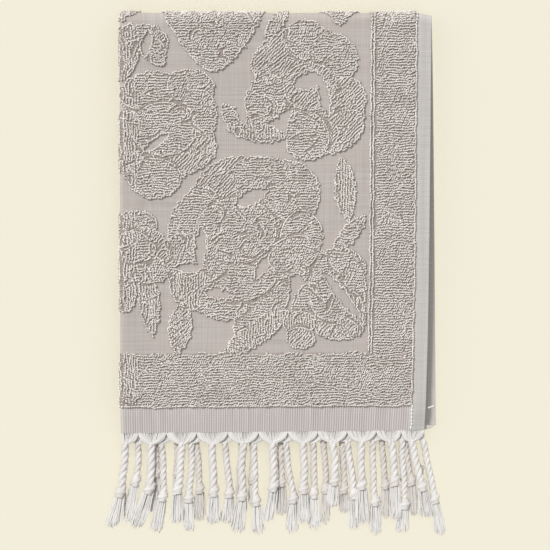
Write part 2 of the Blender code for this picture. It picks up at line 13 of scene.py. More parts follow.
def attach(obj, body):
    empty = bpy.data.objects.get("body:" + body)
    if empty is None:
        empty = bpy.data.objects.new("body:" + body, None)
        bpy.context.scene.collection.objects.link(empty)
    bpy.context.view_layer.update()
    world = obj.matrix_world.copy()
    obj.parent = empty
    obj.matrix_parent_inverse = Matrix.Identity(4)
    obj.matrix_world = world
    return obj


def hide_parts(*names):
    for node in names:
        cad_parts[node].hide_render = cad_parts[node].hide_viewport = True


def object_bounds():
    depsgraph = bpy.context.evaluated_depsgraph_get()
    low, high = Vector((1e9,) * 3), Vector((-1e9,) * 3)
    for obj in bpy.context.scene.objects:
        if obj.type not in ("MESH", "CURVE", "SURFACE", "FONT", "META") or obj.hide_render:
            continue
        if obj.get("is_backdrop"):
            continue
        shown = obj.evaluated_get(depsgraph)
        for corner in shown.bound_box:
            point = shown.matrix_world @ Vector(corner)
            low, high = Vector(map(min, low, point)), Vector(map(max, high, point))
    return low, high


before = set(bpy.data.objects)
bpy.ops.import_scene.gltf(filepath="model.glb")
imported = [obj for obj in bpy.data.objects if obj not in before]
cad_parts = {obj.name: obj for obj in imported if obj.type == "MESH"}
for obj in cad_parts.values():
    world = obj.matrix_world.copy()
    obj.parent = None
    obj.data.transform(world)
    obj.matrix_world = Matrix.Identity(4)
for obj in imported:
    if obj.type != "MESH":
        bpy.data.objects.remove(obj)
cad_low, cad_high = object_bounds()
MM = 0.001

# ---------------------------------------------------------------------------------------------------
# The cloth: one piece of woven cotton, folded in four with its side fold at the left and its top fold
# away from the fringe. Its flat ground, the dense foot of its terry, its plain side hems and its
# ribbed end bands are one weave, so they are one closed sheet here.

CLOTH_WIDE = 457 * MM
FRONT_REACH = 312.4 * MM  # from the top fold down to the end of the front layers
BACK_REACH = 303.0 * MM
GROUND = 1.7 * MM  # thickness of the flat weave
PILE = 2.05 * MM  # height of the terry over it
SIDE_HEM = 10.4 * MM
END_BAND = 24.0 * MM
SIDE_BORDER = 31.4 * MM
END_BORDER = 40.2 * MM
LAYER_GAP = 0.9 * MM
SIDE_FOLD_RADIUS = 2.2 * MM
SIDE_FOLD_EASE = 20 * MM
FRONT_LEVEL, FRONT_END_LEVEL = 13.4 * MM, 8.4 * MM  # middle of the front pair over the floor
BACK_LEVEL, BACK_END_LEVEL = 4.2 * MM, 2.7 * MM
END_CLOSE = 0.85  # a pair lies closer by this share at its flat ends
END_EASE = 27 * MM
TOP_FOLD_RADIUS = (FRONT_LEVEL - BACK_LEVEL) / 2
FRONT_TAPER = (3.4 * MM, 2.65 * MM)  # even and late narrowing of the front towards its end
FRONT_SHIFT = (0.4 * MM, 0.35 * MM)
FRONT_SKEW = 2.2 * MM
BACK_SHIFT = 3.5 * MM
CORNER_DROP = 1.6 * MM
CORNER_FADE = 6 * MM
SIDE_DROOP = 0.16
Wave = namedtuple("Wave", "across down start share")  # soft waves in the height of the cloth
WAVES = (Wave(31, 17, 0.0, 0.027), Wave(-41, 23, 1.3, 0.019))
ORIGIN_ACROSS = 114.1 * MM
ORIGIN_DOWN = 191.1 * MM
HALF_WIDE = CLOTH_WIDE / 2
HALF_GAP = (LAYER_GAP + GROUND) / 2
CREST_INSET = TOP_FOLD_RADIUS + HALF_GAP + GROUND / 2
EDGE_LEAD = 14 * MM  # the fold's path is known this far past each end
NOSE_STEPS, SECTION_STEPS = 30, 900
TURN_STEPS, PATH_STEPS = 60, 700
NOSE_POINT = 0.06 * MM  # this near the side fold the sheet stands upright
FLOOR_CLEAR = 0.02 * MM


def smooth(value):
    """Eases from 0 to 1."""
    value = np.clip(value, 0.0, 1.0)
    return value * value * (3.0 - 2.0 * value)


def lengths_along(*coordinates):
    """Distance along a polyline at each of its points."""
    steps = np.sqrt(sum(np.diff(c) ** 2 for c in coordinates))
    return np.concatenate(([0.0], np.cumsum(steps)))


def pair_section():
    """Middle of the outer layer of a pair, from the side fold: length, across, offset."""
    nose = np.linspace(0.0, math.pi / 2, NOSE_STEPS)
    beyond = np.linspace(0.0, CLOTH_WIDE, SECTION_STEPS)[1:]
    offset = SIDE_FOLD_RADIUS + (HALF_GAP - SIDE_FOLD_RADIUS) * smooth(beyond / SIDE_FOLD_EASE)
    across = np.concatenate((SIDE_FOLD_RADIUS * (1 - np.cos(nose)), SIDE_FOLD_RADIUS + beyond))
    offset = np.concatenate((SIDE_FOLD_RADIUS * np.sin(nose), offset))
    return lengths_along(across, offset), across + GROUND / 2, offset


def fold_path():
    """Middle of a pair from the front end over the top fold to the back end: length, down, level."""
    front = np.linspace(FRONT_REACH + EDGE_LEAD, CREST_INSET, PATH_STEPS)
    rise = smooth((FRONT_REACH - front) / END_EASE)
    front_level = FRONT_END_LEVEL + (FRONT_LEVEL - FRONT_END_LEVEL) * rise
    turn = np.linspace(math.pi / 2, -math.pi / 2, TURN_STEPS)[1:]
    middle = (FRONT_LEVEL + BACK_LEVEL) / 2
    back = np.linspace(CREST_INSET, BACK_REACH + EDGE_LEAD, PATH_STEPS)[1:]
    rise = smooth((BACK_REACH - back) / END_EASE)
    back_level = BACK_END_LEVEL + (BACK_LEVEL - BACK_END_LEVEL) * rise
    down = np.concatenate((front, CREST_INSET - TOP_FOLD_RADIUS * np.cos(turn), back))
    level = np.concatenate((front_level, middle + TOP_FOLD_RADIUS * np.sin(turn), back_level))
    return lengths_along(down, level) - EDGE_LEAD, down, level


SECTION = pair_section()
PATH = fold_path()
CLOTH_LONG = PATH[0][-1] - EDGE_LEAD
CREST_RUN = PATH[0][PATH_STEPS - 1] + math.pi / 2 * TOP_FOLD_RADIUS


def table_point(table, length):
    """Point of a (length, a, b) table and its unit direction there."""
    step = 0.05 * MM
    point = [np.interp(length, table[0], column) for column in table[1:]]
    ahead = [np.interp(length + step, table[0], column) for column in table[1:]]
    behind = [np.interp(length - step, table[0], column) for column in table[1:]]
    way = [a - b for a, b in zip(ahead, behind)]
    size = np.hypot(*way)
    return point, [w / size for w in way]


def lie(across, down, level, run, side):
    """The folded cloth's own unevenness: taper, skew, drooping hem and soft waves."""
    front = 1.0 - smooth((run - CREST_RUN) / (math.pi * TOP_FOLD_RADIUS) + 0.5)
    share = np.clip(down, 0.0, None) / FRONT_REACH
    narrow = FRONT_TAPER[0] * share + FRONT_TAPER[1] * share**6
    shift = FRONT_SHIFT[0] * share + FRONT_SHIFT[1] * share**8
    wide = across / HALF_WIDE
    near_edge = smooth((np.abs(side) - HALF_WIDE + SIDE_HEM) / SIDE_HEM)
    new_across = across + front * (shift - narrow * wide) + (1 - front) * BACK_SHIFT * np.sqrt(share)
    new_down = down - front * FRONT_SKEW * wide * share**2
    new_down = new_down + CORNER_DROP * near_edge * np.exp(-np.clip(down, 0, None) / CORNER_FADE)
    lift = sum(w.share * np.sin(w.across * across + w.down * down + w.start) for w in WAVES)
    new_level = level * (1 + lift) * (1 - SIDE_DROOP * near_edge)
    return new_across, new_down, new_level


def cloth_point(side, run, height):
    """Points of the cloth at a height over its middle on the face side, as rows of x, y, z.

    "side" runs across the cloth from the side fold, positive on the outer layers and negative on the
    inner ones, and "run" runs along it from its front end.
    """
    side, run, height = np.broadcast_arrays(*(np.asarray(v, dtype=float) for v in (side, run, height)))
    layer = np.where(side < 0, -1.0, 1.0)
    (across, offset), (along, aside) = table_point(SECTION, np.abs(side))
    nose = np.abs(side) < NOSE_POINT
    along = np.where(nose, 0.0, along)
    aside = np.where(nose, 1.0, aside)
    from_end = np.minimum(run, CLOTH_LONG - run)
    offset = offset * (END_CLOSE + (1 - END_CLOSE) * smooth(from_end / END_EASE))
    across = across - height * aside
    offset = layer * (offset + height * along)
    (down, level), (fall, climb) = table_point(PATH, run)
    down = down + offset * climb
    level = level - offset * fall
    across, down, level = lie(across, down, level, run, side)
    level = np.maximum(level, FLOOR_CLEAR)
    return np.stack((across - ORIGIN_ACROSS, ORIGIN_DOWN - down, level), axis=-1)


# The terry motif, in millimetres across from the side fold and down from the top fold. A petal or leaf
# is an oval: length and width are its halves, turn is the angle of its length below the horizontal,
# and point is 0 for a round end and up to 1 for a leaf's tips.
Oval = namedtuple("Oval", "across down length width turn point")
Bloom = namedtuple("Bloom", "across down petals")
BLOOMS = (
    Bloom(87, 165, (
        Oval(79, 125, 27, 17, -28, 0), Oval(106, 122, 24, 16, 12, 0), Oval(126, 131, 24, 21, 50, 0),
        Oval(134, 166, 21, 16, 95, 0), Oval(124, 180, 22, 14, 150, 0), Oval(54, 150, 25, 15, -55, 0),
        Oval(47, 180, 19, 16, 100, 0), Oval(54, 203, 18, 15, 30, 0), Oval(76, 214, 19, 12, 8, 0),
        Oval(92, 196, 24, 16, -10, 0), Oval(86, 160, 30, 24, 0, 0),
    )),
    Bloom(136, 58, (
        Oval(116, 33, 22, 15, -38, 0), Oval(137, 21, 17, 15, 20, 0), Oval(158, 33, 19, 16, 50, 0),
        Oval(166, 66, 18, 15, 100, 0), Oval(163, 88, 20, 13, 140, 0), Oval(137, 91, 19, 17, 60, 0),
        Oval(107, 66, 21, 15, 105, 0), Oval(140, 55, 20, 18, 0, 0),
    )),
    Bloom(30, 88, (
        Oval(22, 58, 22, 14, -12, 0), Oval(53, 55, 18, 13, 5, 0), Oval(58, 78, 21, 14, 95, 0),
        Oval(54, 105, 20, 12, -30, 0), Oval(26, 122, 20, 15, 0, 0), Oval(6, 96, 24, 14, 90, 0),
        Oval(33, 86, 24, 20, 0, 0),
    )),
    Bloom(158, 201, (
        Oval(148, 186, 16, 10, -28, 0), Oval(168, 184, 15, 10, 30, 0), Oval(174, 200, 17, 8, 82, 0),
        Oval(174, 222, 17, 8, 84, 0), Oval(160, 232, 17, 9, 5, 0), Oval(137, 214, 17, 9, 110, 0),
        Oval(156, 212, 16, 15, 40, 0),
    )),
    Bloom(14, 171, (
        Oval(11, 157, 17, 12, -10, 0), Oval(24, 172, 16, 12, 50, 0), Oval(20, 188, 17, 11, 10, 0),
        Oval(2, 178, 20, 9, 90, 0), Oval(10, 172, 13, 12, 0, 0),
    )),
    Bloom(133, 233, (
        Oval(133, 228, 12, 9, 0, 0), Oval(134, 239, 11, 8, 10, 0),
    )),
    Bloom(12, 27, (
        Oval(24, 20, 14, 9, 35, 0), Oval(28, 31, 11, 7, 80, 0), Oval(4, 30, 22, 11, 105, 0),
        Oval(14, 18, 13, 8, -20, 0),
    )),
)
LEAVES = (
    Oval(105, 219, 37, 16, 120, 0.55),
    Oval(45, 231, 19, 9, 97, 0.5),
    Oval(22, 212, 28, 8, 84, 0.9),
    Oval(4, 206, 14, 9, 90, 0.1),
    Oval(166, 130, 25, 8, 84, 0.6),
    Oval(169, 163, 19, 6.5, 130, 0.6),
    Oval(101, 88, 23, 7, 8, 0.3),
    Oval(81, 76, 10, 6, 60, 0.3),
    Oval(115, 9, 14, 5, -50, 0.5),
    Oval(5, 3, 12, 3.5, -18, 0.5),
    Oval(101, 235, 30, 9, 147, 0.7),
)
GAPS = (
    Oval(97, 136, 13, 5, -25, 0.8),
    Oval(60, 172, 15, 4, 92, 0.8),
    Oval(52, 187, 12, 3.2, 178, 0.9),
    Oval(73, 206, 11, 3.4, 5, 0.8),
    Oval(105, 187, 9, 3.6, 118, 0.8),
    Oval(138, 51, 11, 6, -15, 0.4),
    Oval(150, 62, 14, 3.6, 78, 0.9),
    Oval(164, 208, 24, 3.6, 52, 0.9),
    Oval(27, 96, 11, 2.6, -35, 0.9),
    Oval(20, 24, 10, 3, 100, 0.8),
)
# Buds are three-cornered, hanging from a flat side: halves of that side, and how far they reach down.
Bud = namedtuple("Bud", "across down half_wide reach fullness")
BUDS = (
    Bud(69, -9, 42, 53, 0.42),
    Bud(161, -8, 24, 18, 0.1),
)
HEART = 4.0  # no bloom is narrower than this round its heart
NOTCH = 3.0  # and no petal stands out from its neighbours by more than this


def oval_depth(oval, across, down):
    """How far places are inside a petal, leaf or gap, in millimetres, and below zero outside it."""
    turn = math.radians(oval.turn)
    along = (across - oval.across) * math.cos(turn) + (down - oval.down) * math.sin(turn)
    aside = (down - oval.down) * math.cos(turn) - (across - oval.across) * math.sin(turn)
    part = np.clip(np.abs(along) / oval.length, 0.0, 1.0)
    half_wide = oval.width * np.sqrt(1.0 - part**2) * (1.0 - oval.point * part**3)
    return np.minimum(half_wide - np.abs(aside), oval.length - np.abs(along))


def bloom_reach(bloom, count=44):
    """On each ray from a bloom's heart, how far its outer line is."""
    angle = np.linspace(0.0, 2 * math.pi, count, endpoint=False)
    reach = np.full(count, HEART)
    for petal in bloom.petals:
        turn = math.radians(petal.turn)
        start_x = bloom.across - petal.across
        start_y = bloom.down - petal.down
        ox = (start_x * math.cos(turn) + start_y * math.sin(turn)) / petal.length
        oy = (start_y * math.cos(turn) - start_x * math.sin(turn)) / petal.width
        dx = np.cos(angle - turn) / petal.length
        dy = np.sin(angle - turn) / petal.width
        a, b = dx * dx + dy * dy, ox * dx + oy * dy
        inside = b * b - a * (ox * ox + oy * oy - 1)
        far = (-b + np.sqrt(np.clip(inside, 0, None))) / a
        reach = np.where((inside > 0) & (far > reach), far, reach)
    return np.minimum(reach, 0.5 * (np.roll(reach, 1) + np.roll(reach, -1)) + NOTCH)


def bloom_depth(bloom, across, down):
    """How far places are inside a bloom, in millimetres."""
    reach = bloom_reach(bloom)
    angle = np.mod(np.arctan2(down - bloom.down, across - bloom.across), 2 * math.pi)
    rays = np.linspace(0.0, 2 * math.pi, len(reach) + 1)
    edge = np.interp(angle, rays, np.append(reach, reach[0]))
    return edge - np.hypot(across - bloom.across, down - bloom.down)


def bud_depth(bud, across, down):
    """How far places are inside a bud, in millimetres."""
    part = np.clip((down - bud.down) / bud.reach, 0.0, 1.0)
    half = bud.half_wide * (1 - part) ** (1 - bud.fullness)
    ends = np.minimum(down - bud.down, bud.down + bud.reach - down)
    return np.minimum(half - np.abs(across - bud.across), ends)


def box_depth(side, run, side_low, side_high, run_low, run_high):
    """How far places are inside a rectangle of the cloth."""
    return np.minimum(
        np.minimum(side - side_low, side_high - side), np.minimum(run - run_low, run_high - run),
    )


NOSE_CLEAR = 1.15 * MM  # the terry ends just round the side fold, on the inner layers
FOLD_CLEAR = 16 * MM  # and the back's plain terry starts this far past the top fold
PAIR_CLEAR = 18 * MM
SELVEDGE = HALF_WIDE - SIDE_HEM
FRAME_SIDE = SELVEDGE - SIDE_BORDER
FRAME_TOP = END_BAND + END_BORDER
# Waves of the frame's edge along the end bands: size, length and start.
FRAME_WAVES = ((0.5 * MM, 5.3 * MM, 0.0), (0.35 * MM, 2.1 * MM, 1.0))


def frame_depth(side, run):
    """How far places are inside the terry frame, or the plain terry of the hidden layers, in metres."""
    low = END_BAND + sum(size * np.sin(side / length + start) for size, length, start in FRAME_WAVES)
    boxes = (
        (FRAME_SIDE, SELVEDGE, low, CLOTH_LONG - END_BAND),
        (-NOSE_CLEAR, SELVEDGE, low, FRAME_TOP),
        (-NOSE_CLEAR, SELVEDGE, CREST_RUN + FOLD_CLEAR, CLOTH_LONG - END_BAND),
        (-SELVEDGE, -PAIR_CLEAR, low, CREST_RUN - FOLD_CLEAR),
        (-SELVEDGE, -PAIR_CLEAR, CREST_RUN + FOLD_CLEAR, CLOTH_LONG - END_BAND),
    )
    return np.max([box_depth(side, run, *box) for box in boxes], axis=0)


# Unevenness over the cloth: how strong it is, how long its humps are, and the seed it is drawn from.
Drift = namedtuple("Drift", "size length seed")
RAGGED_EDGE = Drift(0.7 * MM, 5 * MM, 7)
DRIFT_WAVES, DRIFT_SPREAD = 7, 2.6  # waves in a drift, and about how far their sum goes from zero
DRIFT_RATES = 0.55, 1.3  # slowest and fastest of them, against the drift's own length


def drift(side, run, kind):
    """A soft random wave over the cloth, as strong as its kind says."""
    waves = np.random.default_rng(kind.seed)
    total = np.zeros_like(side)
    for _ in range(DRIFT_WAVES):
        turn, start = waves.uniform(0, 2 * math.pi, 2)
        rate = 2 * math.pi / kind.length * waves.uniform(*DRIFT_RATES)
        total += np.sin(rate * (math.cos(turn) * side + math.sin(turn) * run) + start)
    return kind.size * (total / DRIFT_SPREAD)


def motif_depth(side, run):
    """How far places are inside the blooms, leaves and buds, in metres."""
    across, down = side / MM, (CREST_RUN - run) / MM
    depths = [bloom_depth(bloom, across, down) for bloom in BLOOMS]
    depths += [oval_depth(leaf, across, down) for leaf in LEAVES]
    depths += [bud_depth(bud, across, down) for bud in BUDS]
    bare = np.max([oval_depth(gap, across, down) for gap in GAPS], axis=0)
    deep = np.minimum(np.max(depths, axis=0), -bare) * MM + drift(side, run, RAGGED_EDGE)
    return np.minimum(deep, side + NOSE_CLEAR)


def terry_depth(side, run):
    """How far places are inside any terry, in metres, and below zero on the flat ground."""
    return np.maximum(frame_depth(side, run), motif_depth(side, run))


FOOT = 0.6 * MM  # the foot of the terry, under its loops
LAST_PICK_FRONT = 4.4 * MM  # past the last weft pick the warp ends are bare: they are the fringe's fans
LAST_PICK_BACK = 0.6 * MM
PATCH_INSET = 11.0 * MM  # from a selvedge to the inner edge of the hem that is turned in at each corner
FOOT_EASE = 1.5 * MM
RIB_PITCH = 1.73 * MM
RIB_HIGH = 0.2 * MM
PATCH_HIGH = 0.3 * MM  # the turned-in corners stand this much over the rest of the band
EDGE_ROUND = 0.9 * MM
EDGE_THIN = 0.35  # thickness of the very edge, as a share of the ground's
BAND_EASE, PATCH_EASE = 1.5 * MM, 0.7 * MM


def graded(*stops):
    """Values from stop to stop, with each stretch in even steps of about its own pitch."""
    values = [stops[0][0]]
    for (low, pitch), (high, _) in zip(stops, stops[1:]):
        count = max(1, round((high - low) / pitch))
        values += [low + (high - low) * step / count for step in range(1, count + 1)]
    return np.array(values)


def face_height(side, run):
    """Height of the cloth's face over its middle: foot of the terry, ribs and rounded edges."""
    from_end = np.minimum(run, CLOTH_LONG - run)
    inset = HALF_WIDE - np.abs(side)
    from_pick = np.minimum(run - LAST_PICK_FRONT, CLOTH_LONG - LAST_PICK_BACK - run)
    from_edge = np.minimum(inset, from_pick)
    roundness = np.sqrt(1 - (1 - np.clip(from_edge / EDGE_ROUND, 0, 1)) ** 2)
    foot = FOOT * smooth(terry_depth(side, run) / FOOT_EASE)
    in_band = smooth((END_BAND - from_end) / BAND_EASE)
    in_patch = in_band * smooth((PATCH_INSET - inset) / PATCH_EASE)
    ribs = RIB_HIGH * in_band * (1 - in_patch) * np.sin(2 * math.pi * side / RIB_PITCH)
    ground = GROUND / 2 * (EDGE_THIN + (1 - EDGE_THIN) * roundness)
    return ground + foot + ribs * roundness + PATCH_HIGH * in_patch


def zip_rows(first, second, first_at, second_at):
    """Triangles between two rows of points, given by index and by their places along the rows."""
    faces, i, j = [], 0, 0
    while i < len(first) - 1 or j < len(second) - 1:
        if j == len(second) - 1 or (i < len(first) - 1 and first_at[i + 1] <= second_at[j + 1]):
            faces.append((first[i], first[i + 1], second[j]))
            i += 1
        else:
            faces.append((first[i], second[j + 1], second[j]))
            j += 1
    return faces


def woven_sheet():
    """The cloth as one closed mesh, with a UV map and a terry attribute."""
    edge = (HALF_WIDE - EDGE_ROUND, 0.3 * MM), (HALF_WIDE, 0)
    fold = (-6 * MM, 0.6 * MM), (6 * MM, 2.0 * MM)
    face_sides = graded((-HALF_WIDE, 0.3 * MM), (-HALF_WIDE + EDGE_ROUND, 4.6 * MM), *fold, *edge)
    back_sides = graded((-HALF_WIDE, 5 * MM), *fold, (40 * MM, 5 * MM), (HALF_WIDE, 0))
    crest = (CREST_RUN - 16 * MM, 1.1 * MM), (CREST_RUN + 16 * MM, 4.6 * MM)
    face_runs = graded((END_BAND, 2.0 * MM), *crest, (CLOTH_LONG - END_BAND, 0))
    back_runs = graded((LAST_PICK_FRONT, 5 * MM), *crest, (CLOTH_LONG - LAST_PICK_BACK, 0))
    rib_sides = graded((-HALF_WIDE, 0.2 * MM), (-HALF_WIDE + EDGE_ROUND, 0.4 * MM), *edge)
    near_band, far_band = (
        graded((pick, 0.3 * MM), (pick + EDGE_ROUND, 5 * MM), (END_BAND - 1.4 * MM, 0))
        for pick in (LAST_PICK_FRONT, LAST_PICK_BACK)
    )
    far_band = CLOTH_LONG - far_band[::-1]
    points, wovens, depths, faces = [], [], [], []

    def add_grid(sides, runs, over):
        """Adds a grid of points and its faces, and returns the indices, a row for each run."""
        side, run = np.meshgrid(sides, runs)
        height = face_height(side, run) if over else -GROUND / 2 * np.ones_like(side)
        first = sum(len(block) for block in points)
        points.append(cloth_point(side, run, height).reshape(-1, 3))
        wovens.append(np.stack((side, run), axis=-1).reshape(-1, 2))
        terry_share = smooth(terry_depth(side, run) / FOOT_EASE)
        depths.append(terry_share.ravel() * over)
        index = first + np.arange(side.size).reshape(side.shape)
        quads = np.stack((index[:-1, :-1], index[:-1, 1:], index[1:, 1:], index[1:, :-1]), axis=-1)
        faces.extend(quads.reshape(-1, 4).tolist())
        return index

    near = add_grid(rib_sides, near_band, True)
    middle = add_grid(face_sides, face_runs, True)
    far = add_grid(rib_sides, far_band, True)
    back = add_grid(back_sides, back_runs, False)
    faces.extend(zip_rows(near[-1], middle[0], rib_sides, face_sides))
    faces.extend(zip_rows(middle[-1], far[0], face_sides, rib_sides))
    faces.extend(zip_rows(near[0], back[0], rib_sides, back_sides))
    faces.extend(zip_rows(far[-1], back[-1], rib_sides, back_sides))
    face_at = np.concatenate((near_band, face_runs, far_band))
    for column in (0, -1):
        rim = np.concatenate((near[:, column], middle[:, column], far[:, column]))
        faces.extend(zip_rows(rim, back[:, column], face_at, back_runs))
    mesh = bpy.data.meshes.new("woven_cloth")
    mesh.from_pydata(np.concatenate(points).tolist(), [], [[int(i) for i in f] for f in faces])
    woven = np.concatenate(wovens)
    loop_points = np.zeros(len(mesh.loops), np.int32)
    mesh.loops.foreach_get("vertex_index", loop_points)
    mesh.uv_layers.new(name="woven").data.foreach_set("uv", woven[loop_points].astype(np.float32).ravel())
    terry = mesh.attributes.new("terry", "FLOAT", "POINT")
    terry.data.foreach_set("value", np.concatenate(depths).astype(np.float32))
    tidy = bmesh.new()
    tidy.from_mesh(mesh)
    bmesh.ops.recalc_face_normals(tidy, faces=tidy.faces)
    tidy.to_mesh(mesh)
    tidy.free()
    mesh.shade_smooth()
    return mesh


def linear(colour):
    """An sRGB hex colour as linear red, green, blue and alpha."""
    parts = [int(colour[start:start + 2], 16) / 255 for start in (1, 3, 5)]
    return (*[p / 12.92 if p <= 0.04045 else ((p + 0.055) / 1.055) ** 2.4 for p in parts], 1.0)


def add_node(tree, kind, inputs=(), **settings):
    """Adds a node with its settings. Inputs are values, or other nodes' outputs to link."""
    node = tree.nodes.new(kind)
    for name, value in settings.items():
        setattr(node, name, value)
    for socket, value in dict(inputs).items():
        if isinstance(value, bpy.types.NodeSocket):
            tree.links.new(value, node.inputs[socket])
        else:
            node.inputs[socket].default_value = value
    return node


def cotton(name, roughness, sheen):
    """A new cotton material: its node tree and its shader, with the sheen of fine fibre ends."""
    material = bpy.data.materials.new(name)
    material.use_nodes = True
    shader = material.node_tree.nodes["Principled BSDF"]
    shader.inputs["Roughness"].default_value = roughness
    shader.inputs["Specular IOR Level"].default_value = 0.2
    shader.inputs["Sheen Weight"].default_value = sheen
    shader.inputs["Sheen Roughness"].default_value = 0.5
    return material, material.node_tree, shader


GROUND_LIGHT, GROUND_DARK, GROUND_WARM = "#BDB6B1", "#A9A09B", "#B9AEA7"
HEM_LIGHT, HEM_DARK = "#CFCBC7", "#BFBBB6"
# the rib colours are painted highlight on the ribs' crests and painted shade between them
RIB_CREST_HIGHLIGHT, RIB_GROOVE_SHADE = "#D8D2CE", "#ABA29D"
# the foot under the pile is drawn darker than the flat ground and darker between its lumps: partly its own
# yarn, partly painted shade of the pile over it
SHADED_FOOT_LIGHT, SHADED_FOOT_DARK = "#B2A8A1", "#847A72"
FOOT_LUMP = 1.3 * MM  # the foot of the pile is packed loops of about this size
LUMP_DEEP = 0.9 * MM
WEAVE_PITCH = 1.5 * MM  # the real weave is three times finer; at this pitch its lines still show
WEAVE_HIGH = 0.06 * MM
WARP_STREAKS = (0.65 / MM, 0.014 / MM, 1)  # streaks of uneven yarn to a metre, across and along the cloth
WEFT_STREAKS = (0.014 / MM, 0.6 / MM, 1)
CLOUDS = 0.045 / MM  # clouds of a warmer colour to a metre


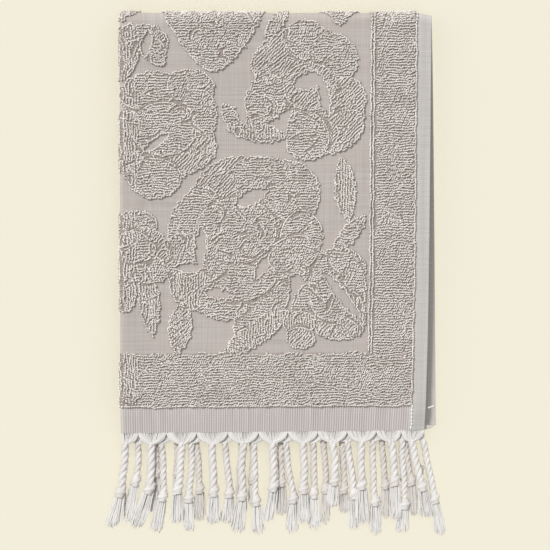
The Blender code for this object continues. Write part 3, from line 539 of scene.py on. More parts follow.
def flat_weave():
    """Plain-woven greige cotton. Single yarns of uneven thickness give fine lines both ways."""
    material, tree, shader = cotton("greige_plain_weave", 0.9, 0.12)
    woven = add_node(tree, "ShaderNodeUVMap", uv_map="woven").outputs[0]
    place = add_node(tree, "ShaderNodeSeparateXYZ", {0: woven})
    lines, tones = [], []
    for way, streaks in enumerate((WARP_STREAKS, WEFT_STREAKS)):
        turns = add_node(tree, "ShaderNodeMath", {
            0: place.outputs[way], 1: 2 * math.pi / WEAVE_PITCH,
        }, operation="MULTIPLY")
        lines.append(add_node(tree, "ShaderNodeMath", {0: turns.outputs[0]}, operation="SINE").outputs[0])
        stretched = add_node(tree, "ShaderNodeMapping", {"Vector": woven, "Scale": streaks})
        tones.append(add_node(tree, "ShaderNodeTexNoise", {
            "Vector": stretched.outputs[0], "Scale": 1.0, "Detail": 2.0, "Roughness": 0.6,
        }).outputs["Fac"])
    crossing = [
        add_node(tree, "ShaderNodeMath", {0: line, 1: tone}, operation="MULTIPLY").outputs[0]
        for line, tone in zip(lines, reversed(tones))
    ]
    weave = add_node(tree, "ShaderNodeMath", {0: crossing[0], 1: crossing[1]}, operation="ADD").outputs[0]
    uneven = add_node(tree, "ShaderNodeMath", {0: tones[0], 1: tones[1]}, operation="ADD").outputs[0]
    slub = add_node(tree, "ShaderNodeMath", {0: weave, 1: 0.05, 2: uneven}, operation="MULTIPLY_ADD")
    slub = add_node(tree, "ShaderNodeMapRange", {
        "Value": slub.outputs[0], "From Min": 0.7, "From Max": 1.3,
    }).outputs[0]
    ground = add_node(tree, "ShaderNodeMix", {
        0: slub, 6: linear(GROUND_DARK), 7: linear(GROUND_LIGHT),
    }, data_type="RGBA").outputs[2]
    cloudy = add_node(tree, "ShaderNodeTexNoise", {"Vector": woven, "Scale": CLOUDS, "Detail": 2.0})
    warm = add_node(tree, "ShaderNodeMapRange", {
        "Value": cloudy.outputs["Fac"], "From Min": 0.35, "From Max": 0.65, "To Max": 0.5,
    }).outputs[0]
    ground = add_node(tree, "ShaderNodeMix", {
        0: warm, 6: ground, 7: linear(GROUND_WARM),
    }, data_type="RGBA").outputs[2]
    # painted highlight and shade: the end band's ribs are drawn lighter on their crests and darker between
    # them, over the yarn's uneven tone
    rib_turns = add_node(tree, "ShaderNodeMath", {
        0: place.outputs[0], 1: 2 * math.pi / RIB_PITCH,
    }, operation="MULTIPLY").outputs[0]
    rib_crest_light = add_node(tree, "ShaderNodeMath", {0: rib_turns}, operation="SINE").outputs[0]
    ridge = add_node(tree, "ShaderNodeMath", {
        0: rib_crest_light, 1: 0.3, 2: tones[0],
    }, operation="MULTIPLY_ADD").outputs[0]
    ridge = add_node(tree, "ShaderNodeMapRange", {
        "Value": ridge, "From Min": -0.05, "From Max": 1.0,
    }).outputs[0]
    ribs = add_node(tree, "ShaderNodeMix", {
        0: ridge, 6: linear(RIB_GROOVE_SHADE), 7: linear(RIB_CREST_HIGHLIGHT),
    }, data_type="RGBA").outputs[2]
    hem = add_node(tree, "ShaderNodeMix", {
        0: slub, 6: linear(HEM_DARK), 7: linear(HEM_LIGHT),
    }, data_type="RGBA").outputs[2]
    off_middle = add_node(tree, "ShaderNodeMath", {0: place.outputs[0]}, operation="ABSOLUTE").outputs[0]
    from_middle = add_node(tree, "ShaderNodeMath", {
        0: place.outputs[1], 1: CLOTH_LONG / 2,
    }, operation="SUBTRACT").outputs[0]
    from_middle = add_node(tree, "ShaderNodeMath", {0: from_middle}, operation="ABSOLUTE").outputs[0]
    in_band, in_hem, past_patch = (
        add_node(tree, "ShaderNodeMath", {0: place_in, 1: limit}, operation="GREATER_THAN").outputs[0]
        for place_in, limit in (
            (from_middle, CLOTH_LONG / 2 - END_BAND), (off_middle, SELVEDGE),
            (off_middle, HALF_WIDE - PATCH_INSET),
        )
    )
    in_patch = add_node(tree, "ShaderNodeMath", {
        0: past_patch, 1: in_band,
    }, operation="MULTIPLY").outputs[0]
    flat = ground
    for share, colour in ((in_band, ribs), (in_hem, hem), (in_patch, hem)):
        flat = add_node(tree, "ShaderNodeMix", {0: share, 6: flat, 7: colour}, data_type="RGBA").outputs[2]
    terry = add_node(tree, "ShaderNodeAttribute", attribute_name="terry").outputs["Fac"]
    lumps = add_node(tree, "ShaderNodeTexVoronoi", {
        "Vector": woven, "Scale": 1 / FOOT_LUMP,
    }).outputs["Distance"]
    # painted shade: the foot is darkest between its lumps, and darker than the ground where the pile shades
    # it
    foot = add_node(tree, "ShaderNodeMix", {
        0: lumps, 6: linear(SHADED_FOOT_LIGHT), 7: linear(SHADED_FOOT_DARK),
    }, data_type="RGBA").outputs[2]
    finished = add_node(tree, "ShaderNodeMix", {0: terry, 6: flat, 7: foot}, data_type="RGBA").outputs[2]
    tree.links.new(finished, shader.inputs["Base Color"])
    yarns = add_node(tree, "ShaderNodeMath", {0: weave, 1: WEAVE_HIGH}, operation="MULTIPLY").outputs[0]
    packed = add_node(tree, "ShaderNodeMath", {0: lumps, 1: terry}, operation="MULTIPLY").outputs[0]
    raised = add_node(tree, "ShaderNodeMath", {
        0: packed, 1: -LUMP_DEEP, 2: yarns,
    }, operation="MULTIPLY_ADD").outputs[0]
    bump = add_node(tree, "ShaderNodeBump", {"Strength": 0.7, "Distance": 1.0, "Height": raised})
    tree.links.new(bump.outputs[0], shader.inputs["Normal"])
    return material


cloth = bpy.data.objects.new("woven_cloth", woven_sheet())
bpy.context.scene.collection.objects.link(cloth)
cloth.data.materials.append(flat_weave())
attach(cloth, "root")
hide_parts("towel_cloth")


# ---------------------------------------------------------------------------------------------------
# The terry: loops of soft two-fold cotton pile yarn, woven into the ground in weft rows, with a row of
# upright loops along each edge. Washed and pressed flat, the rest lean over, so that the rows look like
# wavy ridges with dark gaps. Each loop is one arch of yarn.

LOOP_ROWS = 1.92 * MM  # from weft row to weft row
LOOP_PITCH = 1.45 * MM  # along a row
JITTER_ALONG, JITTER_ACROSS = 0.24, 0.12  # of that pitch, each way
CREST_OPEN = 7.0 * MM  # this near the top fold the cloth is bent open, and rows stand twice as close
YARN_RADIUS = 0.51 * MM
LOOP_HALF = 0.78 * MM  # half of a loop's width
LOOP_WIDTHS, LOOP_HEIGHTS = (0.8, 1.3), (0.8, 1.08)  # smallest and largest share of their full size
LOOP_FOOT = 0.15 * MM  # a loop starts this far over the ground
LOOP_SLANT = 0.42  # loops stand across their row by this much, because the yarn is twisted
LOOP_LEAN = 0.6  # and they are pressed over by this much, in radians as well
LEAST_RISE = 0.6  # a leaning loop is drawn out, so that the pile is even, but only down to this rise
TURN_SPREAD, LEAN_SPREAD, TONE_SPREAD = 0.18, 0.1, 0.13  # from loop to loop
LOOP_TONE = 0.84  # 0 is the darkest yarn and 1 the lightest
FLAT_NOSE = 13 * MM  # nearer than this to the side fold the rows run along it
ROW_WAYS = (0.0, math.pi / 4, math.pi / 2)  # where a field of terry is brushed askew, its rows turn
PETAL_WAYS, LEAF_WAYS = (0.68, 0.2, 0.12), (0.5, 0.3, 0.2)  # how often a petal or leaf has each way
PETAL_TURN = 0.3  # how much further one petal's rows turn than another's, in radians
BLOOM_SPILL = 2.0  # petals reach this far past their bloom's outline, in millimetres
GROOVE = 0.9 * MM  # the bare line outside a petal's edge
FAINT_GROOVE = 0.3  # where it is narrower than this share, the pile closes over it
CRACK_HALF = 0.6  # half the width of the cracks in the motif's pile, in millimetres
CRACK_FROM, ALONG_FROM = 0.1, -0.3  # cracks, and loops along an edge, are where their drift is over this
LIP = 2.0 * MM  # how far inside the edge the pile stands up, and its loops lie along the edge
LIP_EASE = 1.0 * MM  # it does so over this distance
LIP_UPRIGHT, LIP_HIGH, LIP_PAINTED_HIGHLIGHT = 0.8, 0.1, 0.25  # how much more upright and taller it is there, and how much a painted highlight lightens it
OUTER_LIP = 0.4 * MM  # beside the ground fewer of them do: that strip is narrower by this
UNDER = 2.5 * MM  # how far outside an edge the pile is pressed down under it
UNDER_EASE = 1.6 * MM
UNDER_LOW, UNDER_PAINTED_SHADE = 0.4, 0.85  # how much lower it is there, and how much painted shade darkens it
EDGE_FALL = 2.0 * MM  # this near bare ground the pile falls outwards
EDGE_FALL_OUT, EDGE_FALL_LOW = 0.6, 0.12  # how far it leans out, and how much lower that makes it
EDGE_INSET = 0.7 * MM  # where an edge row of the motif or of a petal stands, inside the edge
EDGE_CLEAR = 1.4 * MM  # the strip inside an edge that is kept for it
EDGE_PITCH = 1.7 * MM  # along an edge row
EDGE_ROW = 1.9 * MM  # width of the strip that an edge row of the frame takes
EDGE_UPRIGHT = 0.85  # its loops are this much less pressed over than the rest
EDGE_SIZE = (1.1, 1.1, 0.95)  # their width, yarn and height, against the other loops'
EDGE_TONE, EDGE_TONE_SPREAD = 0.78, 0.12
EDGE_JITTER = 0.12  # in millimetres
FRAME_INSET = 0.25 * MM  # the frame's loops start this far inside its edge
FILL_CLEAR = 1.34 * MM  # a place further than this from every loop gets one more
FILL_GRID, FILL_INSET = 0.8 * MM, 0.3 * MM
FILL_JITTER = 0.3  # of the grid, in millimetres
FILL_RECENT = 40  # and a new one is kept clear of this many that were added before it
PAST_FOLD = 22 * MM  # the front's terry goes this far past the top fold
NO_EDGE = 99.0  # stands for a distance when no edge is near

# What drifts over the pile. Wavers are in metres, turns and leans in radians, and the rest are shares.
WAVER, FINE_WAVER = Drift(0.4 * MM, 17 * MM, 3), Drift(0.24 * MM, 5 * MM, 4)  # of the rows
FOLD_WAVER = Drift(2.5 * MM, 12 * MM, 81)  # of the line where the rows turn to run along the side fold
RUFFLE, FINE_RUFFLE = Drift(0.32, 12 * MM, 41), Drift(0.36, 4.5 * MM, 42)  # of the loops' turn
UNREST = Drift(1.1, 32 * MM, 44)  # of how much of those wavers and ruffles there is
CRACKS, CRACK_BREAKS = Drift(5.5, 27 * MM, 91), Drift(1.0, 15 * MM, 92)  # in millimetres, and a share
GROOVE_BREAKS, ALONG_BREAKS = Drift(2.4, 9 * MM, 21), Drift(1.0, 13 * MM, 43)
SLANT_DRIFT, LEAN_DRIFT = Drift(0.8, 24 * MM, 40), Drift(0.22, 11 * MM, 51)
HEIGHT_DRIFT, TONE_DRIFT = Drift(0.14, 6 * MM, 61), Drift(0.1, 30 * MM, 71)
EDGE_WAVER, EDGE_RUN_WAVER = Drift(0.32 * MM, 9 * MM, 33), Drift(0.35 * MM, 26 * MM, 34)
EDGE_TONE_DRIFT = Drift(0.25, 14 * MM, 35)
rng = np.random.default_rng(11)


def unrest(side, run):
    """How ruffled the pile is at each place: here it lies in pressed, even rows, and there it doesn't."""
    return 0.25 + 0.75 * smooth(0.5 + drift(side, run, UNREST))


def loop_places(turn, side_span, run_span):
    """Places of loops in jittered rows over a stretch of the cloth, with the rows turned."""
    centre_side, centre_run = sum(side_span) / 2, sum(run_span) / 2
    reach = math.hypot(side_span[1] - side_span[0], run_span[1] - run_span[0]) / 2
    pitches, half_rows = (np.arange(-reach, reach, pitch) for pitch in (LOOP_PITCH, LOOP_ROWS / 2))
    along, row = np.meshgrid(pitches, half_rows)
    half_row = np.round(2 * (row + reach) / LOOP_ROWS).astype(int)
    between, odd = half_row % 2, half_row // 2 % 2
    along = along + 0.5 * LOOP_PITCH * odd
    along = along + rng.uniform(-JITTER_ALONG, JITTER_ALONG, row.shape) * LOOP_PITCH
    row = row + rng.uniform(-JITTER_ACROSS, JITTER_ACROSS, row.shape) * LOOP_PITCH
    side = centre_side + along * math.cos(turn) - row * math.sin(turn)
    run = centre_run + along * math.sin(turn) + row * math.cos(turn)
    waver = (drift(side, run, WAVER) + drift(side, run, FINE_WAVER)) * unrest(side, run)
    side = side - waver * math.sin(turn)
    run = run + waver * math.cos(turn)
    inside = (side > side_span[0]) & (side < side_span[1]) & (run > run_span[0]) & (run < run_span[1])
    inside = inside & ((between == 0) | (np.abs(run - CREST_RUN) < CREST_OPEN))
    return side[inside], run[inside]


def petal_lay(side, run):
    """Which way the rows run at each place, how much its petal's loops lean aside, and how far it is
    inside the edge of its petal, in metres, or below zero outside the edge of a petal over it."""
    across, down = side / MM, (CREST_RUN - run) / MM
    way = np.zeros(side.shape, int)
    turn = np.zeros_like(side)
    near = np.full_like(side, NO_EDGE)
    lay = np.random.default_rng(5)
    for bloom in BLOOMS:
        in_bloom = bloom_depth(bloom, across, down) > -BLOOM_SPILL
        for petal in bloom.petals:
            own_way, own_turn = lay.choice(3, p=PETAL_WAYS), lay.normal(0.0, PETAL_TURN)
            depth = oval_depth(petal, across, down)
            inside = in_bloom & (depth > 0)
            way = np.where(inside, own_way, way)
            turn = np.where(inside, own_turn, turn)
            near = np.where(in_bloom & (inside | (-depth < np.abs(near))), depth, near)
    for leaf in LEAVES:
        own_way, own_turn = lay.choice(3, p=LEAF_WAYS), lay.normal(0.0, PETAL_TURN)
        inside = oval_depth(leaf, across, down) > 0
        way = np.where(inside, own_way, way)
        turn = np.where(inside, own_turn, turn)
    in_frame = frame_depth(side, run) > motif_depth(side, run)
    way = np.where(in_frame, 0, way)
    turn = np.where(in_frame, 0.0, turn)
    near = np.where(in_frame, NO_EDGE, near)
    broken = drift(side, run, CRACK_BREAKS) < CRACK_FROM
    crack = np.abs(drift(side, run, CRACKS)) + NO_EDGE * broken - CRACK_HALF
    near = np.where(in_frame | (crack > np.abs(near)), near, crack)
    along_fold = side < FLAT_NOSE + drift(side, run, FOLD_WAVER)
    return np.where(along_fold, len(ROW_WAYS) - 1, way), turn, near * MM


def along_line(near_at, side, run):
    """Direction, across and along the cloth, of the line that a distance is measured from."""
    step = 0.3 * MM
    return np.arctan2(
        near_at(side + step, run) - near_at(side - step, run),
        near_at(side, run - step) - near_at(side, run + step),
    )


def petal_depth(side, run):
    """How far places are inside the edge of their petal."""
    return petal_lay(side, run)[2]


def grooved(side, run, near, inset=EDGE_CLEAR):
    """Whether places are on the bare line along a petal's edge, which comes and goes, or are inside the
    edge by less than the inset."""
    wide = GROOVE * smooth(2.0 + drift(side, run, GROOVE_BREAKS))
    return (near > -wide) & (near < inset) & (wide > FAINT_GROOVE * GROOVE)


def on_edge_strip(side, run):
    """Whether places are where the edge rows of the terry frame stand."""
    return (frame_depth(side, run) > motif_depth(side, run)) & (
        (np.abs(side - FRAME_SIDE) < EDGE_ROW) & (run > FRAME_TOP - EDGE_ROW)
        | (SELVEDGE - side < EDGE_ROW) | (run - END_BAND < EDGE_ROW)
    )


def loop_seeds(side, run, row_turn, deep, turn, near, line, is_motif, upright=0.0):
    """Points for loops, with the attributes that place and colour each one."""
    step = 0.4 * MM
    depth_at = motif_depth if is_motif else frame_depth
    slope = np.stack((
        depth_at(side + step, run) - depth_at(side - step, run),
        depth_at(side, run + step) - depth_at(side, run - step),
    ), axis=1) / (2 * step)
    at_edge = smooth(1 - deep / EDGE_FALL)
    turn = row_turn + turn + LOOP_SLANT * (1 + drift(side, run, SLANT_DRIFT))
    turn = turn + unrest(side, run) * (drift(side, run, RUFFLE) + drift(side, run, FINE_RUFFLE))
    beside = np.minimum(np.abs(near), deep + OUTER_LIP) < LIP
    beside = beside & (drift(side, run, ALONG_BREAKS) > ALONG_FROM)
    turn = np.where(beside, line, turn) + rng.normal(0.0, TURN_SPREAD, len(side))
    lean = LOOP_LEAN + drift(side, run, LEAN_DRIFT) + rng.normal(0.0, LEAN_SPREAD, len(side))
    lip = smooth((LIP - near) / LIP_EASE) * (near > 0)
    under = smooth((UNDER + near) / UNDER_EASE) * (near < 0)
    lean = lean * (1 - upright) * (1 - LIP_UPRIGHT * lip)
    here = cloth_point(side, run, GROUND / 2 + LOOP_FOOT)
    ahead = cloth_point(side + step, run, GROUND / 2 + LOOP_FOOT) - here
    beyond = cloth_point(side, run + step, GROUND / 2 + LOOP_FOOT) - here
    ahead /= np.linalg.norm(ahead, axis=1)[:, None]
    out = np.cross(ahead, beyond)
    out /= np.linalg.norm(out, axis=1)[:, None]
    up = np.cross(out, ahead)
    chord = np.cos(turn)[:, None] * ahead + np.sin(turn)[:, None] * up
    fall = -np.sin(lean)[:, None] * (np.cos(turn)[:, None] * up - np.sin(turn)[:, None] * ahead)
    stand = np.cos(lean)[:, None] * out + fall
    stand = stand - (EDGE_FALL_OUT * at_edge)[:, None] * (slope[:, :1] * ahead + slope[:, 1:] * up)
    stand -= np.sum(stand * chord, axis=1)[:, None] * chord
    stand /= np.linalg.norm(stand, axis=1)[:, None]
    rise = np.abs(np.sum(stand * out, axis=1))
    high = (PILE - LOOP_FOOT - YARN_RADIUS) / np.clip(rise, LEAST_RISE, 1.0)
    high = high * (1 + drift(side, run, HEIGHT_DRIFT)) * rng.uniform(*LOOP_HEIGHTS, len(side))
    high = high * (1 - EDGE_FALL_LOW * at_edge) * (1 + LIP_HIGH * lip - UNDER_LOW * under)
    wide = LOOP_HALF * rng.uniform(*LOOP_WIDTHS, len(side))
    tone = LOOP_TONE + drift(side, run, TONE_DRIFT) + rng.normal(0.0, TONE_SPREAD, len(side))
    # painted highlight on the raised lip inside an edge, and painted shade on the pile under a petal's edge
    tone = tone + LIP_PAINTED_HIGHLIGHT * lip - UNDER_PAINTED_SHADE * under
    return {
        "place": here, "chord": chord, "stand": stand,
        "size": np.stack((wide, np.full_like(wide, YARN_RADIUS), high), axis=1), "tone": tone,
    }


def filled(rows, edges):
    """More places, like the given rows, where rows of different ways, or rows and an edge's own row,
    meet and leave a hole."""
    tree = KDTree(len(rows))
    for index, row in enumerate(rows):
        tree.insert((row[0], row[1], 0), index)
    tree.balance()
    at_edges = KDTree(len(edges))
    for index, place in enumerate(edges):
        at_edges.insert((*place, 0), index)
    at_edges.balance()
    sides, runs = np.meshgrid(
        np.arange(-NOSE_CLEAR, SELVEDGE, FILL_GRID), np.arange(END_BAND, CREST_RUN + PAST_FOLD, FILL_GRID),
    )
    side = sides.ravel() + rng.uniform(-FILL_JITTER, FILL_JITTER, sides.size) * MM
    run = runs.ravel() + rng.uniform(-FILL_JITTER, FILL_JITTER, sides.size) * MM
    bare = (terry_depth(side, run) < EDGE_INSET) | on_edge_strip(side, run)
    bare = bare | grooved(side, run, petal_depth(side, run), inset=FILL_INSET)
    side, run = side[~bare], run[~bare]
    added = []
    for place in zip(side, run):
        _, index, gap = tree.find((*place, 0))
        gap = min(gap, at_edges.find((*place, 0))[2])
        recent = added[-FILL_RECENT:]
        if gap > FILL_CLEAR and all(math.dist(place, other[:2]) > FILL_CLEAR for other in recent):
            added.append((*place, *rows[index][2:]))
    return np.array(added).reshape(-1, rows.shape[1])


def contour(field, level, spacing, step=0.5 * MM):
    """Places evenly along the lines where a depth has a level, found on a fine grid of the front."""
    sides = np.arange(-NOSE_CLEAR, FRAME_SIDE - EDGE_ROW, step)
    side, run = np.meshgrid(sides, np.arange(FRAME_TOP, CREST_RUN + PAST_FOLD, step))
    value = field(side, run) - level
    every, before, after = slice(None), slice(None, -1), slice(1, None)
    found = []
    for low, high in (((before, every), (after, every)), ((every, before), (every, after))):
        no_jump = np.abs(value[low] - value[high]) < 3 * step
        crossed = (value[low] * value[high] < 0) & no_jump
        part = (value[low] / (value[low] - value[high]))[crossed]
        found.append(np.stack([
            grid[low][crossed] + part * (grid[high] - grid[low])[crossed] for grid in (side, run)
        ], axis=1))
    spots = np.concatenate(found)
    kept, here = [], spots[0]
    while len(spots):
        kept.append(here)
        away = np.hypot(*(spots - here).T)
        spots, away = spots[away > spacing], away[away > spacing]
        here = spots[np.argmin(away)] if len(spots) else here
    side, run = np.array(kept).T
    return side, run, along_line(field, side, run)


def frame_edges(lines):
    """Places along straight edges of the terry frame, and the way of each edge."""
    side, run, turn = [], [], []
    for start, end in lines:
        count = round(math.hypot(end[0] - start[0], end[1] - start[1]) / EDGE_PITCH)
        part = (np.arange(count) + 0.5) / count
        side.append(start[0] + (end[0] - start[0]) * part)
        run.append(start[1] + (end[1] - start[1]) * part)
        turn.append(np.full(count, math.atan2(end[1] - start[1], end[0] - start[0])))
    side, run, turn = (np.concatenate(values) for values in (side, run, turn))
    side = side + drift(side, run, EDGE_WAVER) + rng.normal(0, EDGE_JITTER, len(side)) * MM
    run = run + drift(side, run, EDGE_RUN_WAVER) + rng.normal(0, EDGE_JITTER, len(side)) * MM
    return side, run, turn


def edge_seeds(side, run, turn):
    """Points for the light, upright loops that finish an edge of the terry."""
    far = np.full(len(side), NO_EDGE)
    none = np.zeros_like(side)
    seeds = loop_seeds(side, run, turn - LOOP_SLANT, far, none, far, none, False, upright=EDGE_UPRIGHT)
    seeds["size"] = seeds["size"] * np.array(EDGE_SIZE)
    tone = EDGE_TONE + drift(side, run, EDGE_TONE_DRIFT)
    seeds["tone"] = tone + rng.normal(0.0, EDGE_TONE_SPREAD, len(side))
    return seeds


def seed_mesh(name, seeds):
    """A mesh of loose points with vector and number attributes."""
    mesh = bpy.data.meshes.new(name)
    mesh.from_pydata(seeds["place"].tolist(), [], [])
    for key, values in seeds.items():
        if key == "place":
            continue
        kind, field = ("FLOAT_VECTOR", "vector") if values.ndim == 2 else ("FLOAT", "value")
        attribute = mesh.attributes.new(key, kind, "POINT")
        attribute.data.foreach_set(field, values.astype(np.float32).ravel())
    return mesh


def new_tree(name, *inputs):
    """A Geometry Nodes tree with geometry in and out, and the named inputs given."""
    tree = bpy.data.node_groups.new(name, "GeometryNodeTree")
    tree.interface.new_socket("Geometry", in_out="INPUT", socket_type="NodeSocketGeometry")
    for label, kind in inputs:
        tree.interface.new_socket(label, in_out="INPUT", socket_type=kind)
    tree.interface.new_socket("Geometry", in_out="OUTPUT", socket_type="NodeSocketGeometry")
    return tree, add_node(tree, "NodeGroupInput").outputs


def grow(name, seeds, tree, inputs):
    """Runs a tree on seeds, and returns what it grows as a plain object that rides on the cloth."""
    seed = bpy.data.objects.new(name, seeds)
    bpy.context.scene.collection.objects.link(seed)
    modifier = seed.modifiers.new("grow", "NODES")
    modifier.node_group = tree
    sockets = {item.name: item.identifier for item in tree.interface.items_tree if item.in_out == "INPUT"}
    for label, value in inputs.items():
        modifier[sockets[label]] = value
    bpy.context.view_layer.update()
    evaluated = seed.evaluated_get(bpy.context.evaluated_depsgraph_get())
    grown = bpy.data.meshes.new_from_object(evaluated)
    grown.name = name
    seed.modifiers.remove(modifier)
    seed.data = grown
    places = np.zeros(3 * len(grown.vertices), np.float32)
    grown.vertices.foreach_get("co", places)
    places[2::3] = np.maximum(places[2::3], FLOOR_CLEAR)  # what lies on the floor is pressed flat by it
    grown.vertices.foreach_set("co", places)
    grown.update()
    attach(seed, "root")
    return seed


def loop_tree():
    """One arch of yarn on each seed, along its chord and standing as it says."""
    tree, given = new_tree(
        "terry_loops", ("Arch steps", "NodeSocketInt"), ("Yarn sides", "NodeSocketInt"),
        ("Half width", "NodeSocketFloat"), ("Yarn radius", "NodeSocketFloat"),
        ("Pile height", "NodeSocketFloat"), ("Yarn", "NodeSocketMaterial"),
    )
    half_wide, radius, high = (given[label] for label in ("Half width", "Yarn radius", "Pile height"))
    arch = add_node(tree, "GeometryNodeCurveArc", {
        "Resolution": given["Arch steps"], "Radius": 1.0, "Sweep Angle": math.pi,
    }, mode="RADIUS").outputs[0]
    section = add_node(tree, "GeometryNodeCurvePrimitiveCircle", {
        "Resolution": given["Yarn sides"], "Radius": 1.0,
    }, mode="RADIUS").outputs[0]
    arch_size, section_size, full_size = (
        add_node(tree, "ShaderNodeCombineXYZ", dict(enumerate(sizes))).outputs[0]
        for sizes in ((half_wide, high, 1.0), (radius, radius, 1.0), (half_wide, radius, high))
    )
    upright = add_node(tree, "GeometryNodeTransform", {
        "Geometry": arch, "Rotation": (math.pi / 2, 0.0, 0.0), "Scale": arch_size,
    }).outputs[0]
    section = add_node(tree, "GeometryNodeTransform", {
        "Geometry": section, "Scale": section_size,
    }).outputs[0]
    loop = add_node(tree, "GeometryNodeCurveToMesh", {
        "Curve": upright, "Profile Curve": section, "Fill Caps": True,
    }).outputs[0]
    # each point's height up its loop, kept for the painted shade at the root
    place = add_node(tree, "GeometryNodeInputPosition").outputs[0]
    climb = add_node(tree, "ShaderNodeSeparateXYZ", {0: place}).outputs[2]
    climb = add_node(tree, "ShaderNodeMath", {0: climb, 1: high}, operation="DIVIDE").outputs[0]
    loop = add_node(tree, "GeometryNodeStoreNamedAttribute", {
        "Geometry": loop, "Name": "climb", "Value": climb,
    }, data_type="FLOAT", domain="POINT").outputs[0]
    stand, chord, size = (
        add_node(tree, "GeometryNodeInputNamedAttribute", {
            "Name": name,
        }, data_type="FLOAT_VECTOR").outputs[0]
        for name in ("stand", "chord", "size")
    )
    turn = add_node(tree, "FunctionNodeAxesToRotation", {
        0: stand, 1: chord,
    }, primary_axis="Z", secondary_axis="X").outputs[0]
    scale = add_node(tree, "ShaderNodeVectorMath", {0: size, 1: full_size}, operation="DIVIDE").outputs[0]
    loops = add_node(tree, "GeometryNodeInstanceOnPoints", {
        "Points": given["Geometry"], "Instance": loop, "Rotation": turn, "Scale": scale,
    }).outputs[0]
    real = add_node(tree, "GeometryNodeRealizeInstances", {"Geometry": loops}).outputs[0]
    rounded = add_node(tree, "GeometryNodeSetShadeSmooth", {"Geometry": real}).outputs[0]
    finished = add_node(tree, "GeometryNodeSetMaterial", {"Geometry": rounded, "Material": given["Yarn"]})
    add_node(tree, "NodeGroupOutput", {"Geometry": finished.outputs[0]})
    return tree


# the last colour is painted shade, at a loop's root where the pile around it shades it
LOOP_DARK, LOOP_LIGHT, LOOP_ROOT_SHADE = "#B6ACA4", "#EAE4DE", "#A99F97"
PILE_FUZZ = 2.6 / MM  # specks of fuzz to a metre


def toned(tree, first, second):
    """A colour between two, by the tone that each loop or thread was given."""
    tone = add_node(tree, "ShaderNodeAttribute", attribute_name="tone").outputs["Fac"]
    return add_node(tree, "ShaderNodeMix", {
        0: tone, 6: linear(first), 7: linear(second),
    }, data_type="RGBA").outputs[2]


def add_fuzz(tree, shader, specks, strength, deep):
    """The fuzz of a yarn's fibre ends, as a fine unevenness of its face."""
    place = add_node(tree, "ShaderNodeTexCoord").outputs["Object"]
    fuzz = add_node(tree, "ShaderNodeTexNoise", {"Vector": place, "Scale": specks, "Detail": 2.0})
    bump = add_node(tree, "ShaderNodeBump", {
        "Strength": strength, "Distance": deep, "Height": fuzz.outputs["Fac"],
    })
    tree.links.new(bump.outputs[0], shader.inputs["Normal"])


def pile_yarn():
    """Soft cotton pile yarn: dull, faintly fuzzy, a little lighter or darker from loop to loop, and drawn
    darker at a loop's root than on its top, as painted shade of the pile around the root."""
    material, tree, shader = cotton("greige_pile_yarn", 0.95, 0.2)
    climb = add_node(tree, "ShaderNodeAttribute", attribute_name="climb").outputs["Fac"]
    clear_of_root_shade = add_node(tree, "ShaderNodeMapRange", {"Value": climb, "From Min": 0.3, "From Max": 0.8})
    colour = add_node(tree, "ShaderNodeMix", {
        0: clear_of_root_shade.outputs[0], 6: linear(LOOP_ROOT_SHADE), 7: toned(tree, LOOP_DARK, LOOP_LIGHT),
    }, data_type="RGBA").outputs[2]
    tree.links.new(colour, shader.inputs["Base Color"])
    add_fuzz(tree, shader, PILE_FUZZ, 0.35, 0.15 * MM)
    return material


LOOP_INPUTS = {
    "Arch steps": 4, "Yarn sides": 4, "Half width": LOOP_HALF, "Yarn radius": YARN_RADIUS,
    "Pile height": PILE, "Yarn": pile_yarn(),
}
DOUBLE_ROW = 2.1 * MM  # between the two rows at the frame's inner edge
INNER_ROW, OUTER_ROW = FRAME_SIDE - 0.1 * MM, SELVEDGE - 0.8 * MM
LOWEST_ROW = END_BAND + 0.8 * MM
ROWS_END = CREST_RUN + 8 * MM
MOTIF_MIDDLE = CREST_RUN - 118 * MM  # the motif's loops are two meshes, parted here
BACK_NOSE = 5 * MM  # how far round the side fold the back's own terry shows

motif_edges = contour(motif_depth, EDGE_INSET, EDGE_PITCH)
side, run, turn = contour(petal_depth, EDGE_INSET, EDGE_PITCH)
shows = (motif_depth(side, run) > EDGE_CLEAR + EDGE_INSET) & grooved(side, run, np.zeros_like(side))
petal_edges = side[shows], run[shows], turn[shows]
edges = np.concatenate((np.stack(motif_edges[:2], axis=1), np.stack(petal_edges[:2], axis=1)))
places = []
for way, row_turn in enumerate(ROW_WAYS):
    side, run = loop_places(row_turn, (-NOSE_CLEAR, SELVEDGE), (END_BAND, CREST_RUN + PAST_FOLD))
    chosen_way, turn, near = petal_lay(side, run)
    in_motif, in_frame = motif_depth(side, run), frame_depth(side, run)
    deep = np.maximum(in_motif, in_frame)
    kept = (chosen_way == way) & (np.maximum(in_motif - EDGE_CLEAR, in_frame - FRAME_INSET) > 0)
    kept = kept & ~on_edge_strip(side, run) & ~grooved(side, run, near)
    row_turns = np.full_like(side, row_turn)
    rows = np.stack((side, run, row_turns, deep, turn, near, in_frame > in_motif), axis=1)
    places.append(rows[kept])
places.append(filled(np.concatenate(places), edges))
side, run, row_turn, deep, turn, near, in_frame = np.concatenate(places).T
line = np.where(
    np.abs(near) < LIP, along_line(petal_depth, side, run), along_line(terry_depth, side, run),
)
fields = (
    ("terry_frame", in_frame > 0, False),
    ("terry_motif_upper", (in_frame < 1) & (run >= MOTIF_MIDDLE), True),
    ("terry_motif_lower", (in_frame < 1) & (run < MOTIF_MIDDLE), True),
)
seeds = {
    name: loop_seeds(*(v[chosen] for v in (side, run, row_turn, deep, turn, near, line)), is_motif)
    for name, chosen, is_motif in fields
}
